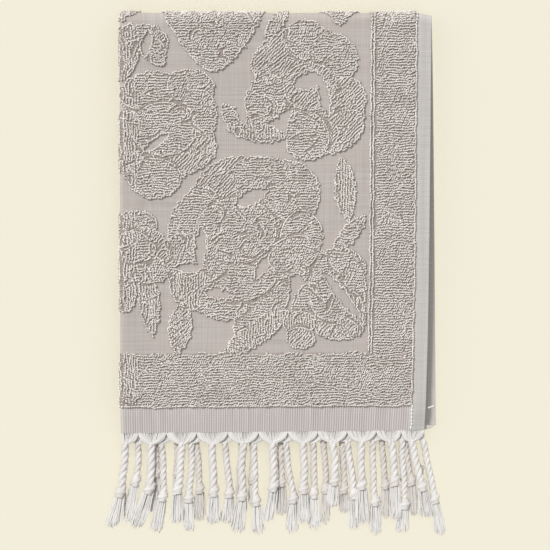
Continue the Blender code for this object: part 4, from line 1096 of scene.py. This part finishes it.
seeds["terry_edge_rows"] = edge_seeds(*frame_edges((
    ((INNER_ROW - DOUBLE_ROW, FRAME_TOP), (INNER_ROW - DOUBLE_ROW, ROWS_END)),
    ((INNER_ROW, FRAME_TOP - 2 * MM), (INNER_ROW, ROWS_END)),
    ((OUTER_ROW, END_BAND + EDGE_ROW), (OUTER_ROW, ROWS_END)),
    ((0.0, LOWEST_ROW), (SELVEDGE, LOWEST_ROW)),
)))
seeds["terry_motif_outline"] = edge_seeds(*motif_edges)
seeds["terry_petal_edges"] = edge_seeds(*petal_edges)
back_run = CREST_RUN + PAST_FOLD, CLOTH_LONG - END_BAND
side, run = loop_places(math.pi / 2, (-NOSE_CLEAR, BACK_NOSE), back_run)
far = np.full_like(side, NO_EDGE)
none = np.zeros_like(side)
seeds["terry_back_side_fold"] = loop_seeds(side, run, none + math.pi / 2, far, none, far, none, False)
loops = loop_tree()
terry_pieces = []
for name, points in seeds.items():
    piece = grow(name, seed_mesh(name, points), loops, LOOP_INPUTS)
    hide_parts("towel_cloth")
    terry_pieces.append(piece)


# ---------------------------------------------------------------------------------------------------
# The fringe: the undyed warp ends at both ends of the cloth. They leave the last weft pick as a fan of
# single threads, are gathered into a cord of three plies twisted together, and end in an overhand knot
# with a loose tuft below it. Each end of the cloth is two meshes, of its cords and of its threads.

# Tassels, in millimetres. One row for each: where it leaves the edge, its knot, and its loose end.
Tassel = namedtuple("Tassel", "root knot knot_down tail tail_down spread")
OUTER_FRONT = (
    Tassel(4.4, 0.8, 352.0, -6.4, 378.5, 4.9), Tassel(23.4, 22.3, 349.5, 11.2, 379.0, 4.4),
    Tassel(45.3, 42.4, 349.5, 41.2, 376.0, 4.0), Tassel(67.8, 68.7, 351.5, 67.5, 376.0, 4.2),
    Tassel(90.9, 89.9, 354.5, 86.0, 382.5, 4.6), Tassel(112.4, 112.8, 348.0, 108.4, 374.0, 3.6),
    Tassel(134.2, 134.2, 349.5, 135.4, 376.0, 3.4), Tassel(156.0, 157.5, 343.5, 155.6, 363.5, 3.4),
    Tassel(177.0, 177.0, 346.5, 178.4, 376.0, 4.6), Tassel(198.8, 201.2, 343.5, 202.6, 373.0, 3.2),
    Tassel(213.6, 220.9, 347.5, 225.4, 371.0, 5.0),
)
INNER_FRONT = (
    Tassel(13.4, 11.6, 344.5, 4.8, 375.0, 3.6), Tassel(30.4, 31.6, 355.5, 25.6, 383.0, 4.0),
    Tassel(52.6, 50.2, 356.5, 50.4, 382.0, 3.4), Tassel(76.6, 80.2, 353.0, 77.8, 376.0, 4.4),
    Tassel(98.6, 99.4, 359.0, 101.4, 384.0, 4.0), Tassel(121.4, 127.2, 357.0, 125.4, 383.0, 4.2),
    Tassel(141.6, 142.0, 353.5, 142.6, 381.0, 3.8), Tassel(166.4, 171.4, 354.0, 171.2, 381.0, 3.2),
    Tassel(186.2, 187.0, 359.0, 187.8, 384.5, 3.8), Tassel(207.4, 209.4, 361.5, 206.4, 382.5, 4.2),
    Tassel(222.4, 230.6, 357.0, 235.6, 384.5, 3.8),
)
INNER_BACK = (
    Tassel(24.8, 26.6, 338.0, 24.2, 367.0, 3.0), Tassel(41.4, 41.6, 338.0, 41.0, 364.0, 2.2),
    Tassel(55.0, 58.4, 350.0, 57.6, 374.0, 3.4), Tassel(88.4, 88.6, 334.0, 87.0, 360.0, 2.2),
    Tassel(97.2, 97.0, 342.8, 97.6, 363.0, 3.0), Tassel(117.0, 118.4, 345.0, 118.6, 370.0, 3.2),
    Tassel(148.0, 150.6, 350.0, 150.2, 376.0, 3.4), Tassel(162.6, 164.4, 350.0, 163.8, 368.0, 2.6),
    Tassel(192.6, 194.6, 347.0, 195.6, 372.0, 3.4), Tassel(209.8, 214.0, 344.0, 215.6, 370.0, 2.4),
)
UNDER_LEAD = 12.0  # the back end's outer tassels are hidden under the front's, and shorter by this
UNDER_SPREAD = 0.5
OUTER_BACK = tuple(
    row._replace(knot_down=row.knot_down - UNDER_LEAD, tail=row.knot, tail_down=row.tail_down - UNDER_LEAD,
                 spread=UNDER_SPREAD * row.spread)
    for row in OUTER_FRONT
)

# Strands of each layer, in millimetres: radius of the cord, halves of the knot and of the tuft's
# thickness, how high the cord, the knot and the tuft lie over the floor, and the tuft's threads.
Strand = namedtuple(
    "Strand", "radius knot_wide knot_thick tail_thick rope_lift knot_lift tail_lift threads",
)
OUTER_FRONT_YARN = Strand(3.1, 4.4, 3.1, 1.2, 4.0, 3.1, 2.3, 48)
INNER_FRONT_YARN = Strand(2.65, 4.1, 2.9, 1.1, 0.0, 0.0, 0.0, 44)
INNER_BACK_YARN = Strand(2.5, 3.8, 2.6, 1.0, 0.0, 0.0, 0.0, 31)
OUTER_BACK_YARN = Strand(1.6, 2.6, 1.35, 0.7, 0.0, 0.0, 0.0, 18)

FAN_STEP, BACK_FAN_STEP = 1.0 * MM, 2.4 * MM  # between two threads of a fan
FAN_THREAD = 0.5 * MM
FAN_POINTS, ARC_POINTS = 8, 9
FAN_INSET = 0.2 * MM  # between a fan and the next
FAN_SAG = 0.8, 0.86  # how full a fan's curve is, sideways and downwards
FAN_ARC = 0.85 * MM  # radius of the arcs at a fan's sides, where they are thickest
FAN_ARC_GROWTH = ((0.0, 0.45), (0.4, 0.85), (1.0, 1.0))  # place along the arc, and share of that radius
FAN_ARC_STARTS = (-1, -0.86, 0.86, 1)  # from the fan's middle, as a share of its half
TUFT_THREAD = 0.48 * MM
TUFT_POINTS = 8
TUFT_TAPER = ((0.0, 1.0), (0.85, 0.95), (1.0, 0.45))  # place along the thread, and share of its radius
TUFT_MOUTH = 0.7  # half of a tuft's width at its knot, as a share of the knot's
TUFT_WIDER = 1.12  # a tuft's spread, against its tassel's row
CORD_START = 2.4 * MM  # from the edge of the cloth down to where its threads are one cord
PLIES = 3
TWIST_LENGTH = 14.2 * MM  # one turn of a cord
TWIST_RADIUS = 2.75 * MM  # if its radius is this: a thinner one turns sooner
PLY_SHARE, PLY_OFFSET = 0.54, 0.48  # of the cord's radius
KNOT_TUBE = 0.44  # radius of the knot's turns, as a share of the knot's half width
KNOT_CORE = ((0.0, 0.56), (0.3, 0.78), (0.7, 0.78), (1.0, 0.64))  # and of the yarn inside, along the knot
KNOT_TUBE_ENDS = ((0.0, 0.6), (0.12, 1.0), (0.88, 1.0), (1.0, 0.6))
KNOT_TURNS, TURN_POINTS = 1.6, 14
CORE_POINTS = 10
CORD_BOW = 0.6  # how far cords bow to a side, in millimetres
CORD_WAVE = 0.25 * MM
TUFT_CUT = 0.83, 1.0  # shortest and longest thread of a tuft, against its length
TUFT_WAVE = 0.45 * MM
THICK_YARN = 0.7 * MM  # yarns over this radius are meshed as cords, and the rest as threads
CORD_SIDES, THREAD_SIDES = 7, 5
BACK_SHADE = 0.4  # painted shade: the yarns of the back end are drawn darker, for the shade they lie in under the front end's
fringe_rng = np.random.default_rng(23)


def root_side(row, outer, front):
    """Distance from the side fold, along the cloth, at which a tassel leaves its edge."""
    across = row.root * MM
    if front:
        across = (across - sum(FRONT_SHIFT)) * HALF_WIDE / (HALF_WIDE - sum(FRONT_TAPER))
    else:
        across = across - BACK_SHIFT
    return across if outer else -across


def bent(start, control, end, count):
    """Points of a quadratic curve."""
    part = np.linspace(0, 1, count)[:, None]
    return (1 - part) ** 2 * start + 2 * part * (1 - part) * control + part**2 * end


def fan(low, high, front, top):
    """Threads from the last pick into the top of a cord. The outer ones hang along a full curve."""
    count = max(4, round((high - low) / (FAN_STEP if front else BACK_FAN_STEP)))
    middle, half = 0.5 * (low + high), 0.5 * (high - low) - FAN_INSET
    for thread in range(count):
        share = -1 + 2 * (thread + 0.5) / count + fringe_rng.normal(0, 0.1) / count
        share = 0.5 * share + 0.5 * math.sin(0.5 * math.pi * share)  # closer together at the fan's sides
        under = fringe_rng.uniform(0.2, 0.9) * MM
        run = LAST_PICK_FRONT + under if front else CLOTH_LONG - LAST_PICK_BACK - under
        start = cloth_point(middle + half * share, run, (0.1 + 0.5 * abs(share)) * MM)
        centre = cloth_point(middle, run, 0.0)
        end = top + np.array((0.9 * MM * share + fringe_rng.normal(0, 0.35) * MM, 0, 0))
        end[1] -= fringe_rng.uniform(0.2, 2.2) * MM
        end[2] += fringe_rng.uniform(-0.2, 0.9) * MM + 0.5 * MM * abs(share)
        control = np.array((
            centre[0] + (start[0] - centre[0]) * FAN_SAG[0] + 0.5 * (1 - abs(share)) * (top[0] - centre[0]),
            start[1] + (top[1] - start[1]) * FAN_SAG[1] * (1 + fringe_rng.normal(0, 0.05)),
            0.5 * (start[2] + end[2]) + 0.5 * MM * abs(share),
        ))
        yield bent(start, control, end, FAN_POINTS), FAN_THREAD * fringe_rng.uniform(0.8, 1.15)
    arc_radius = FAN_ARC * np.interp(np.linspace(0, 1, ARC_POINTS), *zip(*FAN_ARC_GROWTH))
    for share in FAN_ARC_STARTS:  # the outer threads are gathered into a thick arc at each side
        start = cloth_point(middle + half * share, run, 0.5 * MM)
        end = top + np.array((0.8 * MM * share, -1.2 * MM, 0.5 * MM))
        control = np.array((
            start[0] + 0.12 * (top[0] - start[0]), top[1] + 0.4 * MM, 0.5 * (start[2] + end[2]),
        ))
        yield bent(start, control, end, ARC_POINTS), arc_radius


def cord_plies(first, last, settled, radius):
    """The plies of a cord, each a helix round the cord's slightly bowed middle."""
    reach = np.linalg.norm(last - first)
    count = max(8, round(reach / MM))
    part = np.linspace(0, 1, count)
    bow = fringe_rng.normal(0, CORD_BOW) * MM * np.sin(math.pi * part)
    bow += CORD_WAVE * np.sin(9 * part + fringe_rng.uniform(0, 6))
    middle = first + (last - first) * part[:, None]
    middle[:, 0] += bow
    middle[:, 2] += (settled - middle[:, 2]) * smooth(part * 4) * smooth((1 - part) * 5)
    way = np.gradient(middle, axis=0)
    way /= np.linalg.norm(way, axis=1)[:, None]
    aside = np.stack((way[:, 1], -way[:, 0], np.zeros(count)), axis=1)
    aside /= np.linalg.norm(aside, axis=1)[:, None]
    over = np.cross(aside, way)
    over *= np.sign(over[:, 2:])
    turn_length = TWIST_LENGTH * fringe_rng.uniform(0.92, 1.1) * (radius / TWIST_RADIUS) ** 0.7
    phase = fringe_rng.uniform(0, 2 * math.pi)
    swell = 0.7 + 0.3 * smooth(part * reach / (3 * MM))
    for ply in range(PLIES):
        angle = phase + 2 * math.pi * (ply / PLIES - part * reach / turn_length)
        out_aside, out_over = (PLY_OFFSET * radius * swell * wave(angle) for wave in (np.cos, np.sin))
        points = middle + out_aside[:, None] * aside + out_over[:, None] * over
        yield points, PLY_SHARE * radius * swell


def knot_turns(knot, lean, wide, thick):
    """An overhand knot: the cord's own yarn, swollen, and the turns wound over it on a slant."""
    part = np.linspace(0, 1, CORE_POINTS)
    along = wide * (2.0 * part - 0.3)
    core = np.stack((knot[0] + lean * along, knot[1] - along, np.full_like(part, knot[2])), axis=1)
    yield core, wide * np.interp(part, *zip(*KNOT_CORE))
    tube = KNOT_TUBE * wide
    part = np.linspace(0, 1, round(TURN_POINTS * KNOT_TURNS))
    angle = fringe_rng.uniform(-0.5, 0.9) - 2 * math.pi * KNOT_TURNS * part
    across = (wide - tube) * np.cos(angle)
    height = (thick - 0.7 * tube) * np.sin(angle)
    along = wide * (0.35 + 0.95 * part) - 0.75 * across * fringe_rng.uniform(0.6, 1.3)
    turns = np.stack((knot[0] + across + lean * along, knot[1] - along, knot[2] + height), axis=1)
    yield turns, tube * np.interp(part, *zip(*KNOT_TUBE_ENDS))


def tuft(mouth, end, spread, strand):
    """The loose threads below a knot, flaring to uneven ends."""
    narrow = TUFT_MOUTH * strand.knot_wide * MM
    part = np.linspace(0, 1, TUFT_POINTS)
    taper = TUFT_THREAD * np.interp(part, *zip(*TUFT_TAPER))
    for thread in range(strand.threads):
        share = -1 + 2 * (thread + 0.5) / strand.threads + fringe_rng.normal(0, 0.12)
        layer = fringe_rng.uniform(0.0, 1.0)
        cut = fringe_rng.uniform(*TUFT_CUT) * (1 - 0.1 * share**2)
        flare = part**0.85
        middle = mouth + (end - mouth) * (part * cut)[:, None]
        swing = share * (narrow + (spread - narrow) * flare)
        wave = TUFT_WAVE * part * np.sin(part * fringe_rng.uniform(4, 9) + fringe_rng.uniform(0, 6.3))
        middle[:, 0] += swing + wave + fringe_rng.normal(0, 0.5) * MM * part**2
        low = strand.tail_lift * MM + TUFT_THREAD
        high = low + 2 * strand.tail_thick * MM - TUFT_THREAD
        settle = low + (high - low) * layer
        rise = mouth[2] + (layer - 0.5) * strand.knot_thick * MM * (1.3 - 0.5 * share**2)
        middle[:, 2] = np.maximum(rise + (settle - rise) * smooth(part * 1.6), TUFT_THREAD)
        yield middle, taper * fringe_rng.uniform(0.8, 1.2)


def tassel(row, strand, side, low, high, front):
    """All yarns of one tassel: its fan, its twisted cord, its knot and its tuft."""
    radius, wide, thick = strand.radius * MM, strand.knot_wide * MM, strand.knot_thick * MM
    root = cloth_point(side, -CORD_START if front else CLOTH_LONG + CORD_START, 0.0)
    knot = np.array((
        row.knot * MM - ORIGIN_ACROSS, ORIGIN_DOWN - row.knot_down * MM + wide,
        strand.knot_lift * MM + thick,
    ))
    end = np.array((
        row.tail * MM - ORIGIN_ACROSS, ORIGIN_DOWN - row.tail_down * MM,
        (strand.tail_lift + strand.tail_thick) * MM,
    ))
    first = np.array((root[0], root[1], max(root[2] - 0.4 * radius, radius)))
    last = np.array((knot[0], knot[1] - 0.8 * wide, strand.knot_lift * MM + max(radius, thick)))
    lean = (end[0] - knot[0]) / (knot[1] - end[1])
    mouth = knot + 1.5 * wide * np.array((lean, -1.0, 0.0))
    mouth[2] = strand.knot_lift * MM + max(1.3 * strand.tail_thick * MM, 0.5 * thick)
    settled = strand.rope_lift * MM + radius
    yarns = list(fan(low, high, front, first))
    yarns += list(cord_plies(first, last, settled, radius))
    yarns += list(knot_turns(knot, lean, wide, thick))
    return yarns + list(tuft(mouth, end, TUFT_WIDER * row.spread * MM, strand))


def yarn_mesh(name, yarns, shade=0.0):
    """A mesh of polylines with each point's radius, its distance along the yarn and its tone, with any
    painted shade added.
    """
    lines = [points for points, _ in yarns]
    radii = [np.broadcast_to(radius, len(points)) for points, radius in yarns]
    along = [lengths_along(*points.T) for points in lines]
    starts = np.cumsum([0] + [len(points) for points in lines])
    edges = [(k, k + 1) for low, high in zip(starts, starts[1:]) for k in range(low, high - 1)]
    mesh = bpy.data.meshes.new(name)
    mesh.from_pydata(np.concatenate(lines).tolist(), edges, [])
    tones = np.repeat(shade + fringe_rng.uniform(0, 0.4, len(lines)), np.diff(starts))
    kept = {"radius": np.concatenate(radii), "along": np.concatenate(along), "tone": tones}
    for key, values in kept.items():
        attribute = mesh.attributes.new(key, "FLOAT", "POINT")
        attribute.data.foreach_set("value", values.astype(np.float32))
    return mesh


def yarn_tree():
    """A round yarn along each polyline, with its angle round the yarn kept for the material."""
    tree, given = new_tree(
        "laid_yarn", ("Yarn sides", "NodeSocketInt"), ("Yarn", "NodeSocketMaterial"),
    )
    section = add_node(tree, "GeometryNodeCurvePrimitiveCircle", {
        "Resolution": given["Yarn sides"], "Radius": 1.0,
    }, mode="RADIUS").outputs[0]
    place = add_node(tree, "GeometryNodeInputPosition").outputs[0]
    section = add_node(tree, "GeometryNodeStoreNamedAttribute", {
        "Geometry": section, "Name": "round", "Value": place,
    }, data_type="FLOAT_VECTOR", domain="POINT").outputs[0]
    radius = add_node(tree, "GeometryNodeInputNamedAttribute", {
        "Name": "radius",
    }, data_type="FLOAT").outputs[0]
    line = add_node(tree, "GeometryNodeMeshToCurve", {"Mesh": given["Geometry"]}).outputs[0]
    tube = add_node(tree, "GeometryNodeCurveToMesh", {
        "Curve": line, "Profile Curve": section, "Scale": radius, "Fill Caps": True,
    }).outputs[0]
    rounded = add_node(tree, "GeometryNodeSetShadeSmooth", {"Geometry": tube}).outputs[0]
    real = add_node(tree, "GeometryNodeRealizeInstances", {"Geometry": rounded}).outputs[0]
    finished = add_node(tree, "GeometryNodeSetMaterial", {"Geometry": real, "Material": given["Yarn"]})
    add_node(tree, "NodeGroupOutput", {"Geometry": finished.outputs[0]})
    return tree


CORD_LIGHT, CORD_DARK = "#E7E4E1", "#C9C0B8"
FILAMENTS = 7  # seen round a ply
FILAMENT_LAY = 5.5 * MM  # along a ply, for one turn of its filaments
FILAMENT_HIGH = 0.22 * MM
CORD_FUZZ = 0.9 / MM  # specks of fuzz to a metre


def warp_yarn():
    """Undyed carded cotton: warm white, dull, with its filaments laid round each ply."""
    material, tree, shader = cotton("undyed_carded_cotton_yarn", 0.95, 0.15)
    around = add_node(tree, "ShaderNodeAttribute", attribute_name="round").outputs["Vector"]
    parts = add_node(tree, "ShaderNodeSeparateXYZ", {0: around})
    angle = add_node(tree, "ShaderNodeMath", {
        0: parts.outputs[1], 1: parts.outputs[0],
    }, operation="ARCTAN2").outputs[0]
    turns = add_node(tree, "ShaderNodeMath", {
        0: angle, 1: float(FILAMENTS),
    }, operation="MULTIPLY").outputs[0]
    along = add_node(tree, "ShaderNodeAttribute", attribute_name="along").outputs["Fac"]
    lay = add_node(tree, "ShaderNodeMath", {
        0: along, 1: 2 * math.pi * FILAMENTS / FILAMENT_LAY, 2: turns,
    }, operation="MULTIPLY_ADD").outputs[0]
    ridge = add_node(tree, "ShaderNodeMath", {0: lay}, operation="SINE").outputs[0]
    place = add_node(tree, "ShaderNodeTexCoord").outputs["Object"]
    fuzz = add_node(tree, "ShaderNodeTexNoise", {"Vector": place, "Scale": CORD_FUZZ, "Detail": 3.0})
    height = add_node(tree, "ShaderNodeMath", {
        0: ridge, 1: 0.22, 2: fuzz.outputs["Fac"],
    }, operation="MULTIPLY_ADD").outputs[0]
    bump = add_node(tree, "ShaderNodeBump", {
        "Strength": 0.5, "Distance": FILAMENT_HIGH, "Height": height,
    })
    tree.links.new(bump.outputs[0], shader.inputs["Normal"])
    tree.links.new(toned(tree, CORD_LIGHT, CORD_DARK), shader.inputs["Base Color"])
    return material


THREAD_LIGHT, THREAD_DARK = "#E9E7E4", "#C9C2BB"
THREAD_FUZZ = 1.1 / MM


def warp_thread():
    """Single undyed threads, opened out: warm white, with a fine fuzz and no twist to be seen."""
    material, tree, shader = cotton("undyed_single_cotton_thread", 0.95, 0.15)
    tree.links.new(toned(tree, THREAD_LIGHT, THREAD_DARK), shader.inputs["Base Color"])
    add_fuzz(tree, shader, THREAD_FUZZ, 0.3, 0.12 * MM)
    return material


undyed, opened = warp_yarn(), warp_thread()
laid_yarn = yarn_tree()
fringe_pieces = []
ends = (
    ("fringe_front_end", True, (OUTER_FRONT, OUTER_FRONT_YARN), (INNER_FRONT, INNER_FRONT_YARN)),
    ("fringe_back_end", False, (OUTER_BACK, OUTER_BACK_YARN), (INNER_BACK, INNER_BACK_YARN)),
)
for node, front, outer, inner in ends:
    roots = sorted(
        [(root_side(row, True, front), row, outer[1]) for row in outer[0]]
        + [(root_side(row, False, front), row, inner[1]) for row in inner[0]],
        key=lambda root: root[0],
    )
    sides = [root[0] for root in roots]
    limits = [-HALF_WIDE, *((a + b) / 2 for a, b in zip(sides, sides[1:])), HALF_WIDE]
    cords, threads = [], []
    for (side, row, strand), low, high in zip(roots, limits, limits[1:]):
        for points, radius in tassel(row, strand, side, low, high, front):
            kind = cords if np.max(radius) > THICK_YARN else threads
            kind.append((points, radius))
    for label, yarns, yarn_sides, material in (
        ("cords", cords, CORD_SIDES, undyed), ("threads", threads, THREAD_SIDES, opened),
    ):
        name = node.replace("fringe", "fringe_" + label)
        # the back end's yarns get their painted shade here
        seed = yarn_mesh(name, yarns, 0.0 if front else BACK_SHADE)
        piece = grow(name, seed, laid_yarn, {"Yarn sides": yarn_sides, "Yarn": material})
        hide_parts(node)
        fringe_pieces.append(piece)


# ---------------------------------------------------------------------------------------------------
# The sewing: the side hem is turned in at each corner and closed with a line of white lock stitches.
# A second line shows as one short end on the layer below.

STITCH_LONG, STITCH_GAP = 2.6 * MM, 0.2 * MM
STITCH_RADIUS = 0.75 * MM
STITCH_POINTS = 7
SEWING_SIDES = 6
SEWING_WHITE = "#EFEDE9"
SEWING_FUZZ = 3.0 / MM
SEAM = HALF_WIDE - PATCH_INSET + 0.6 * MM  # from the side fold out to each seam
SEAM_LOW, SEAM_HIGH = LAST_PICK_FRONT + 1.5 * MM, END_BAND + 1.0 * MM  # from the end of the cloth
SHORT_END = ((-HALF_WIDE + 6.5 * MM, CLOTH_LONG - 13.6 * MM), (-HALF_WIDE + 1.0 * MM, CLOTH_LONG - 15 * MM))


def stitch_line(start, end):
    """Lock stitches from one place of the cloth to another, each a short arch of thread."""
    reach = math.hypot(end[0] - start[0], end[1] - start[1])
    count = max(1, round(reach / (STITCH_LONG + STITCH_GAP)))
    for stitch in range(count):
        part = (stitch + np.linspace(0.06, 0.94, STITCH_POINTS)) / count
        side = start[0] + (end[0] - start[0]) * part
        run = start[1] + (end[1] - start[1]) * part
        swell = np.sin(np.linspace(0, math.pi, STITCH_POINTS))
        points = cloth_point(side, run, GROUND / 2 + PATCH_HIGH + (0.25 * swell - 0.1) * MM)
        points[:, 0] += fringe_rng.normal(0, 0.12) * MM
        yield points, STITCH_RADIUS * (0.7 + 0.3 * swell)


def sewing_thread():
    """White cotton sewing thread: smoother and brighter than the cloth."""
    material, tree, shader = cotton("white_sewing_thread", 0.7, 0.1)
    shader.inputs["Base Color"].default_value = linear(SEWING_WHITE)
    add_fuzz(tree, shader, SEWING_FUZZ, 0.3, 0.1 * MM)
    return material


stitches = []
for sign in (-1, 1):
    stitches += stitch_line((sign * SEAM, SEAM_LOW), (sign * SEAM, SEAM_HIGH))
    stitches += stitch_line((sign * SEAM, CLOTH_LONG - SEAM_HIGH), (sign * SEAM, CLOTH_LONG - SEAM_LOW))
stitches += stitch_line(*SHORT_END)
stitch_seeds = yarn_mesh("hem_lock_stitches", stitches)
lock_stitches = grow("hem_lock_stitches", stitch_seeds, laid_yarn, {
    "Yarn sides": SEWING_SIDES, "Yarn": sewing_thread(),
})
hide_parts("towel_cloth")


# ---------------------------------------------------------------------------------------------------
# The floor, the light and the camera: a plain pale floor, a soft light from the upper left, and the
# camera straight above the towel.

FLOOR_COLOUR = "#F3EEDB"
FLOOR_WIDE = 4.0
VIEW_WIDE = 401.5 * MM  # what the camera sees at the height of the towel's face
LENS, SENSOR = 150.0, 36.0
FACE_LEVEL = cad_high.z - 4 * MM
AIM_ACROSS, AIM_UP = -0.6 * MM, -0.9 * MM  # middle of the view
SKY = 0.52
Key = namedtuple("Key", "name strength towards angle")  # its angle is how wide it looks, in degrees
KEYS = (
    Key("key_on_cloth", 2.8, (-0.52, 0.58, 0.75), 15),
    Key("key_on_fringe", 2.22, (-0.28, 0.4, 0.87), 9),
)

scene = bpy.context.scene
slab = bpy.data.meshes.new("floor")
half = FLOOR_WIDE / 2
corners = [(-half, -half, 0), (half, -half, 0), (half, half, 0), (-half, half, 0)]
slab.from_pydata(corners, [], [(0, 1, 2, 3)])
floor = bpy.data.objects.new("floor", slab)
scene.collection.objects.link(floor)

# Cream paper, uncoated: one even colour, with no gleam.
paper = bpy.data.materials.new("cream_paper")
paper.use_nodes = True
paper_shader = paper.node_tree.nodes["Principled BSDF"]
paper_shader.inputs["Base Color"].default_value = linear(FLOOR_COLOUR)
paper_shader.inputs["Roughness"].default_value = 1.0
paper_shader.inputs["Specular IOR Level"].default_value = 0.0
slab.materials.append(paper)
floor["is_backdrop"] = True

world = bpy.data.worlds.new("studio")
world.use_nodes = True
world.node_tree.nodes["Background"].inputs["Color"].default_value = (1.0, 1.0, 1.0, 1.0)
world.node_tree.nodes["Background"].inputs["Strength"].default_value = SKY
scene.world = world

# The cloth is lit from lower down than its fringe, so that its pile stands out.
for key, lit in zip(KEYS, ((cloth, *terry_pieces), (*fringe_pieces, lock_stitches))):
    key_light = bpy.data.lights.new(key.name, "SUN")
    key_light.energy = key.strength
    key_light.angle = math.radians(key.angle)
    lamp = bpy.data.objects.new(key.name, key_light)
    lamp.rotation_mode = "QUATERNION"
    lamp.rotation_quaternion = Vector(key.towards).to_track_quat("Z", "Y")
    scene.collection.objects.link(lamp)
    lit_group = bpy.data.collections.new(key.name)
    for piece in lit:
        lit_group.objects.link(piece)
    lamp.light_linking.receiver_collection = lit_group

# The floor has a light of its own without shadows, so that it stays as plain as the photograph's.
wash_light = bpy.data.lights.new("wash", "SUN")
wash_light.energy = math.pi * (1 - SKY)
wash_light.use_shadow = False
wash = bpy.data.objects.new("wash", wash_light)
scene.collection.objects.link(wash)
floor_group = bpy.data.collections.new("lit_floor")
floor_group.objects.link(floor)
wash.light_linking.receiver_collection = floor_group

camera = bpy.data.objects.new("camera", bpy.data.cameras.new("camera"))
camera.data.lens = LENS
camera.data.sensor_width = SENSOR
camera.data.clip_end = 20.0
camera.location = (AIM_ACROSS, AIM_UP, FACE_LEVEL + VIEW_WIDE * LENS / SENSOR)
scene.collection.objects.link(camera)
scene.camera = camera
scene.view_settings.view_transform = "Standard"

low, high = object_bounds()
{"cad": [list(cad_low), list(cad_high)], "visual": [list(low), list(high)]}
